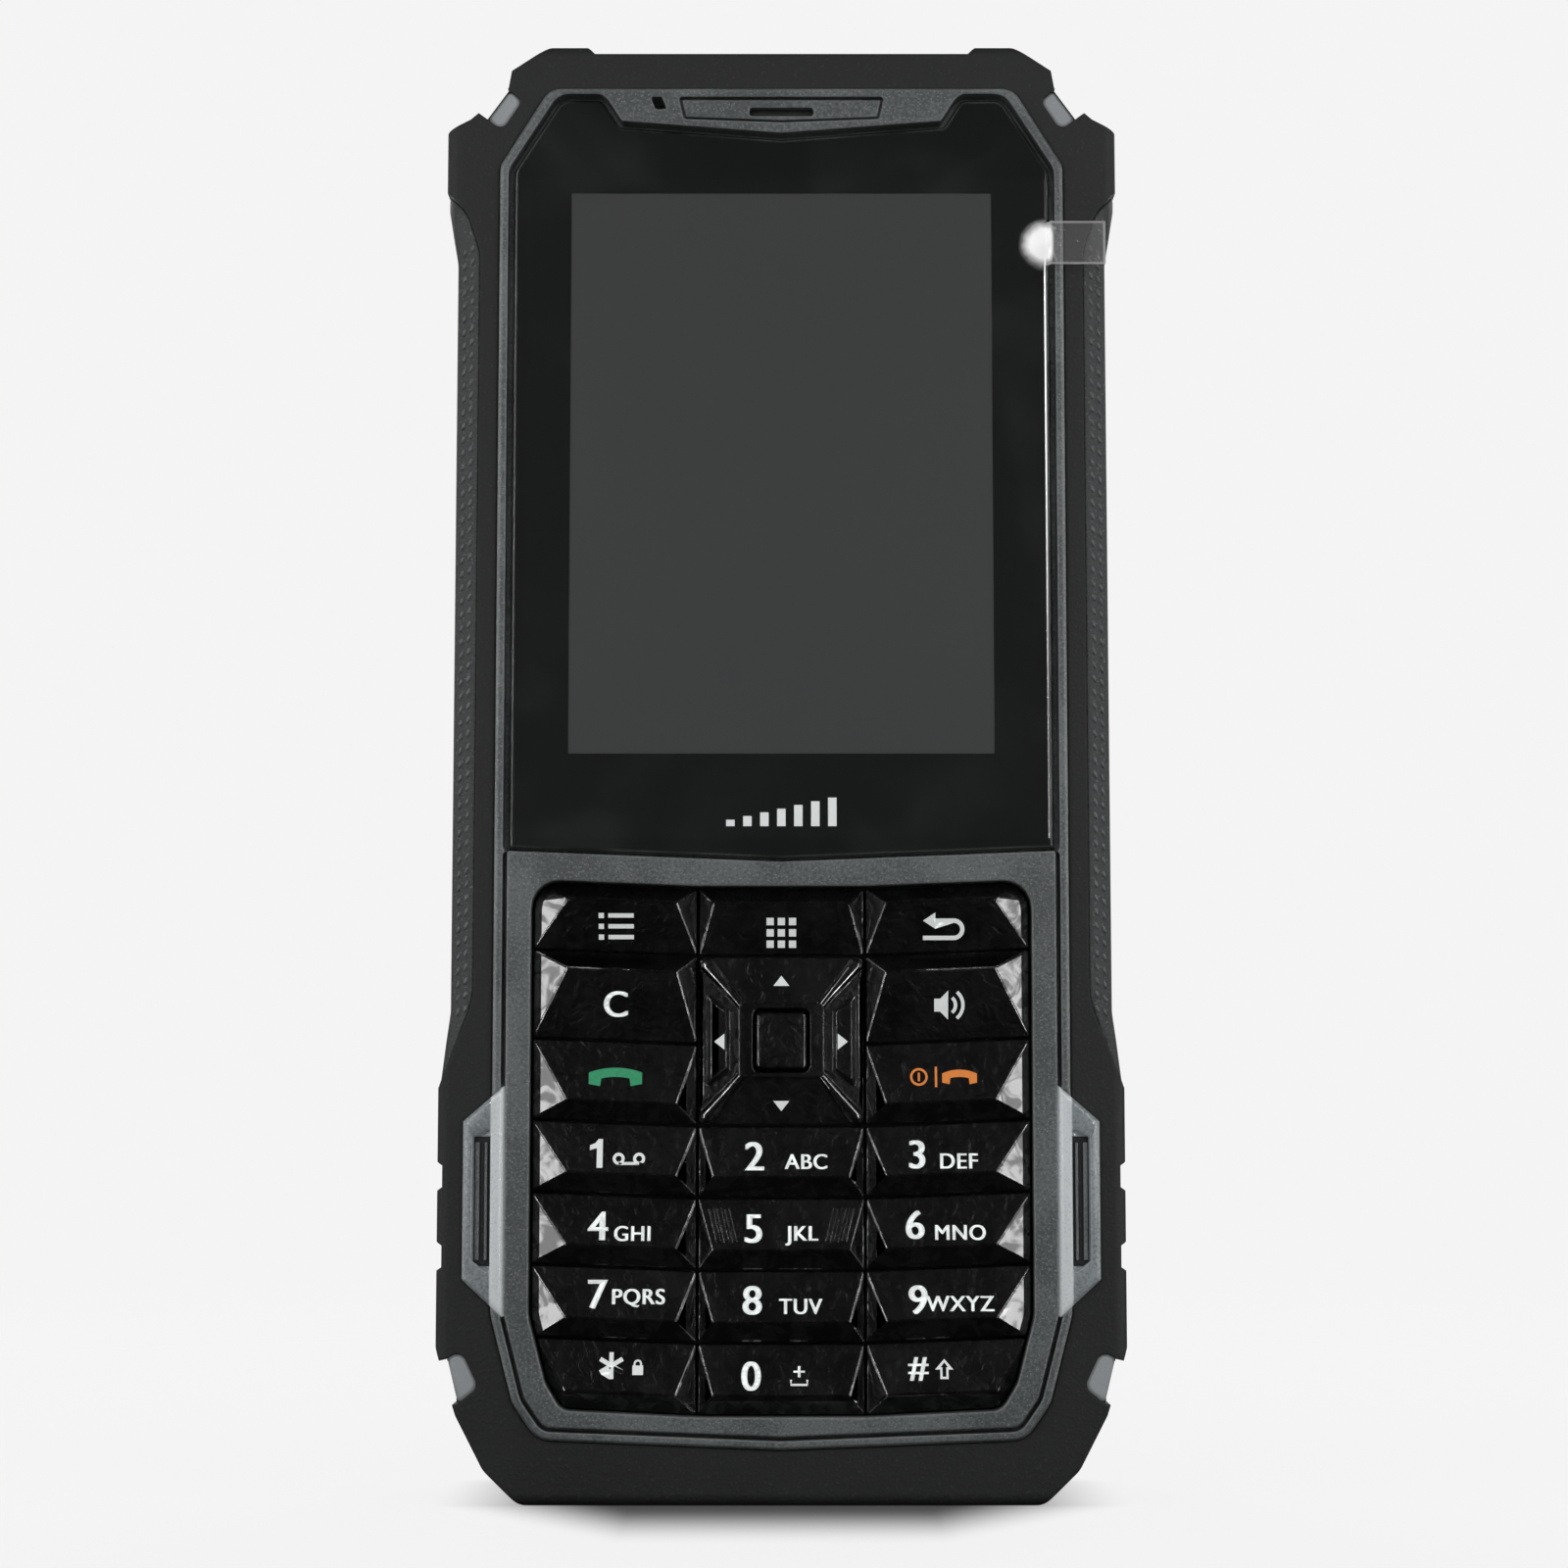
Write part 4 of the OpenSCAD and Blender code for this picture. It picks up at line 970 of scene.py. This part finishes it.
# %% Ribs in the bracket windows
WINDOW_Z = 28.0
RIB_LENGTH = 10.9
RIBS = ((27.55, 0.24), (28.35, 0.4))  # place across, width
SHADE_BED_X = 27.92


def slab(centre, size):
    """A box with that centre and size in mm, with its place in its mesh."""
    bpy.ops.mesh.primitive_cube_add(size=1, location=(0, 0, 0))
    box = bpy.context.object
    place = Matrix.Translation(Vector(centre) * MM)
    box.data.transform(place @ Matrix.Diagonal((*(Vector(size) * MM), 1)))
    return box


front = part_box("side_brackets")[0].y / MM
for side, hand in ((-1, "left"), (1, "right")):
    bars = [slab((side * x, front + 0.8, WINDOW_Z), (width, 0.5, RIB_LENGTH)) for x, width in RIBS]
    # The bed is a dark sheet of painted shade in the window's recess.
    shade_bed = slab((side * SHADE_BED_X, front + 0.94, WINDOW_Z), (1.5, 0.1, 12))
    shade_bed.name = f"bracket_shade_bed_{hand}"
    hand_over(shade_bed, FINISHES["module_dark"], BODY_OF["side_brackets"], SLOT_OF["side_brackets"])
    ribs = joined(bars, f"bracket_ribs_{hand}")
    bevel = ribs.modifiers.new("edge", "BEVEL")
    bevel.width = 0.08 * MM
    bevel.segments = 2
    bpy.ops.object.modifier_apply(modifier=bevel.name)
    hand_over(ribs, FINISHES["front_frame"], BODY_OF["side_brackets"], SLOT_OF["side_brackets"])
print("bracket windows filled")

# %% [markdown]
# Where a maker would put a name, the lens has a plain row of seven rising bars, printed in the
# white ink of the keys.

# %% A plain mark on the lens
MARK_Z = 64.4
mark = drawn([
    block(1.6 * k - 5.4, -1.0, 1.6 * k - 4.6, -0.4 + 0.35 * k) for k in range(7)
])
laid(mark, pieces["display_lens"], 0, MARK_Z)
hand_over(mark, INKS["white"], BODY_OF["display_lens"], SLOT_OF["display_lens"])
mark.name = "lens_mark"
print("mark printed")

# %% [markdown]
# The camera and the lamp sit behind one window at the back.  Each has a metal ring on the
# window, a torus that is turned so that its axis points backwards.

# %% Rings at the back
RINGS = (("camera", -4.6, 2.0, "steel"), ("lamp", 5.4, 1.3, "screw_steel"))
RING_WIRE = 0.22
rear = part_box("rear_window")[1].y
for name, x, radius, finish_name in RINGS:
    bpy.ops.mesh.primitive_torus_add(
        major_radius=radius * MM, minor_radius=RING_WIRE * MM, major_segments=48, minor_segments=12
    )
    eye = bpy.context.object
    eye.name = name + "_ring"
    place = Vector((x * MM, rear - 0.05 * MM, middle("camera_module").z))
    eye.data.transform(Matrix.Translation(place) @ Matrix.Rotation(math.radians(90), 4, "X"))
    only(eye)
    bpy.ops.object.shade_smooth()
    hand_over(eye, FINISHES[finish_name], BODY_OF["rear_window"], SLOT_OF["rear_window"])
print(len(RINGS), "rings")

# %% [markdown]
# ## Studio
# The camera stands a little low and looks slightly up, so the phone's foot is nearest to it.  A
# long lens keeps the sides nearly parallel.

# %% Camera
CAMERA = Vector((0.00025, -0.311, 0.0373))
AIM = Vector((0.00025, -0.011, 0.0670))
bpy.ops.object.camera_add(location=CAMERA)
camera = bpy.context.object
camera.rotation_euler = (AIM - CAMERA).to_track_quat("-Z", "Y").to_euler()
camera.data.lens = 73.5
camera.data.sensor_width = 36
camera.data.clip_start = 0.01
bpy.context.scene.camera = camera
print("camera", round((AIM - CAMERA).length, 3), "m away")

# %% [markdown]
# The floor is a pale sheet that fades into the background, so it has no edge.  A lit floor would
# be brighter near the lamps, so most of its light is its own glow.  The dark patch by the phone
# is painted in that glow, since a glowing sheet takes no shadow, and reflections and bounced
# light leave the floor out, which keeps the black parts black.

# %% Floor
FLOOR_GLOW = 0.84
PATCH_X = 14
PATCH_Y = 9
PATCH_EDGE = 2
PATCH_REACH = 27
bpy.ops.mesh.primitive_plane_add(size=8, location=(0, 0, 0))
floor = bpy.context.object
floor.name = "floor"
paper_shader = {"Roughness": 0.9, "Specular IOR Level": 0.0, "Emission Strength": FLOOR_GLOW}
paper = Finish("floor_paper", paper_shader)
x, y, _ = paper.axes()
beside = (abs(x) - PATCH_X * MM).highest(0)
before = (abs(y) - PATCH_Y * MM).highest(0)
shade = 0.05 + 0.95 * (beside * 1.4 + before).ramp(PATCH_EDGE * MM, PATCH_REACH * MM)
paper.give({
    "Base Color": paper.blend(paper.noise(300, 2), tint(88, 88, 88), tint(94, 94, 94)),
    "Emission Color": paper.blend(shade, (0, 0, 0, 1), (1, 1, 1, 1)),
    "Alpha": 1 - paper.distance((0, 0, 0)).ramp(0.12, 0.4),
})
floor.data.materials.append(paper.material)
floor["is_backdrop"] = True
floor.visible_glossy = False
floor.visible_diffuse = False
print("floor laid")

# %% [markdown]
# The camera sees a pale background, while the phone gets hardly any light from it.  A light path
# node tells the two apart.

# %% Surroundings
DAYLIGHT = 0.03
BACKGROUND = 0.905
world = bpy.data.worlds.new("studio")
bpy.context.scene.world = world
world.use_nodes = True
sky = world.node_tree
path = sky.nodes.new("ShaderNodeLightPath")
dim = sky.nodes.new("ShaderNodeMapRange")
dim.inputs["To Min"].default_value = DAYLIGHT
dim.inputs["To Max"].default_value = BACKGROUND
sky.links.new(path.outputs["Is Camera Ray"], dim.inputs["Value"])
sky.links.new(dim.outputs[0], sky.nodes["Background"].inputs["Strength"])
sky.nodes["Background"].inputs["Color"].default_value = (1, 1, 1, 1)
bpy.context.scene.view_settings.view_transform = "Standard"
print("background", BACKGROUND, "and daylight", DAYLIGHT)

# %% [markdown]
# Gloss needs something bright to mirror, and each cut of the keys mirrors another direction.  So
# tall narrow strips stand on either side, which are seen only as reflections: one for the lines
# on the inner cuts, two for the outer ends of the keys, and one for the edges of the body.
# They are weak, because what they add to the rough parts would grey them.  Soft panels that no
# gloss mirrors light the rough parts from the front, the top and the sides, and a pair behind
# lights the back.

# %% Lights
def panel(name, azimuth, elevation, distance, width, height, power, diffuse=True, glossy=True):
    """A softbox that faces the phone; azimuth 0 is in front and 90 on the right."""
    centre = Vector((0, 0, 0.069))
    a, e = math.radians(azimuth), math.radians(elevation)
    away = Vector((math.sin(a) * math.cos(e), -math.cos(a) * math.cos(e), math.sin(e)))
    bpy.ops.object.light_add(type="AREA", location=centre + away * distance)
    light = bpy.context.object
    light.name = name
    light.rotation_euler = (-away).to_track_quat("-Z", "Y").to_euler()
    light.data.shape = "RECTANGLE"
    light.data.size = width
    light.data.size_y = height
    light.data.energy = power
    light.visible_diffuse = diffuse
    light.visible_glossy = glossy
    light.visible_camera = False


for side in (-1, 1):
    panel(f"line_{side}", side * 28, 4, 0.6, 0.016, 0.7, 1.5, diffuse=False)
    panel(f"facet_{side}", side * 49.5, 4, 0.6, 0.055, 0.7, 0.8, diffuse=False)
    panel(f"vein_{side}", side * 47.5, 4, 0.6, 0.012, 0.7, 0.5, diffuse=False)
    panel(f"edge_{side}", side * 88, 0, 0.6, 0.25, 0.7, 1.6, diffuse=False)
    panel(f"side_{side}", side * 60, 20, 0.9, 0.6, 0.9, 1.5, glossy=False)
    panel(f"rear_{side}", side * 150, 25, 0.9, 0.5, 0.7, 2.5)
panel("front", 0, 25, 1.0, 0.9, 0.6, 1.9, glossy=False)
panel("top", 0, 88, 0.8, 0.7, 0.7, 1.8, glossy=False)

# %% [markdown]
# ## Sizes
# The last step puts the size of the visual model next to the size of the frame, and prints it.

# %% Sizes, and finish
boxes = {"cad": CAD_BOX, "visual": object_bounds()}
sizes = {name: [list(corner) for corner in box] for name, box in boxes.items()}
print("visual box in mm:", [round(v / MM, 2) for corner in sizes["visual"] for v in corner])
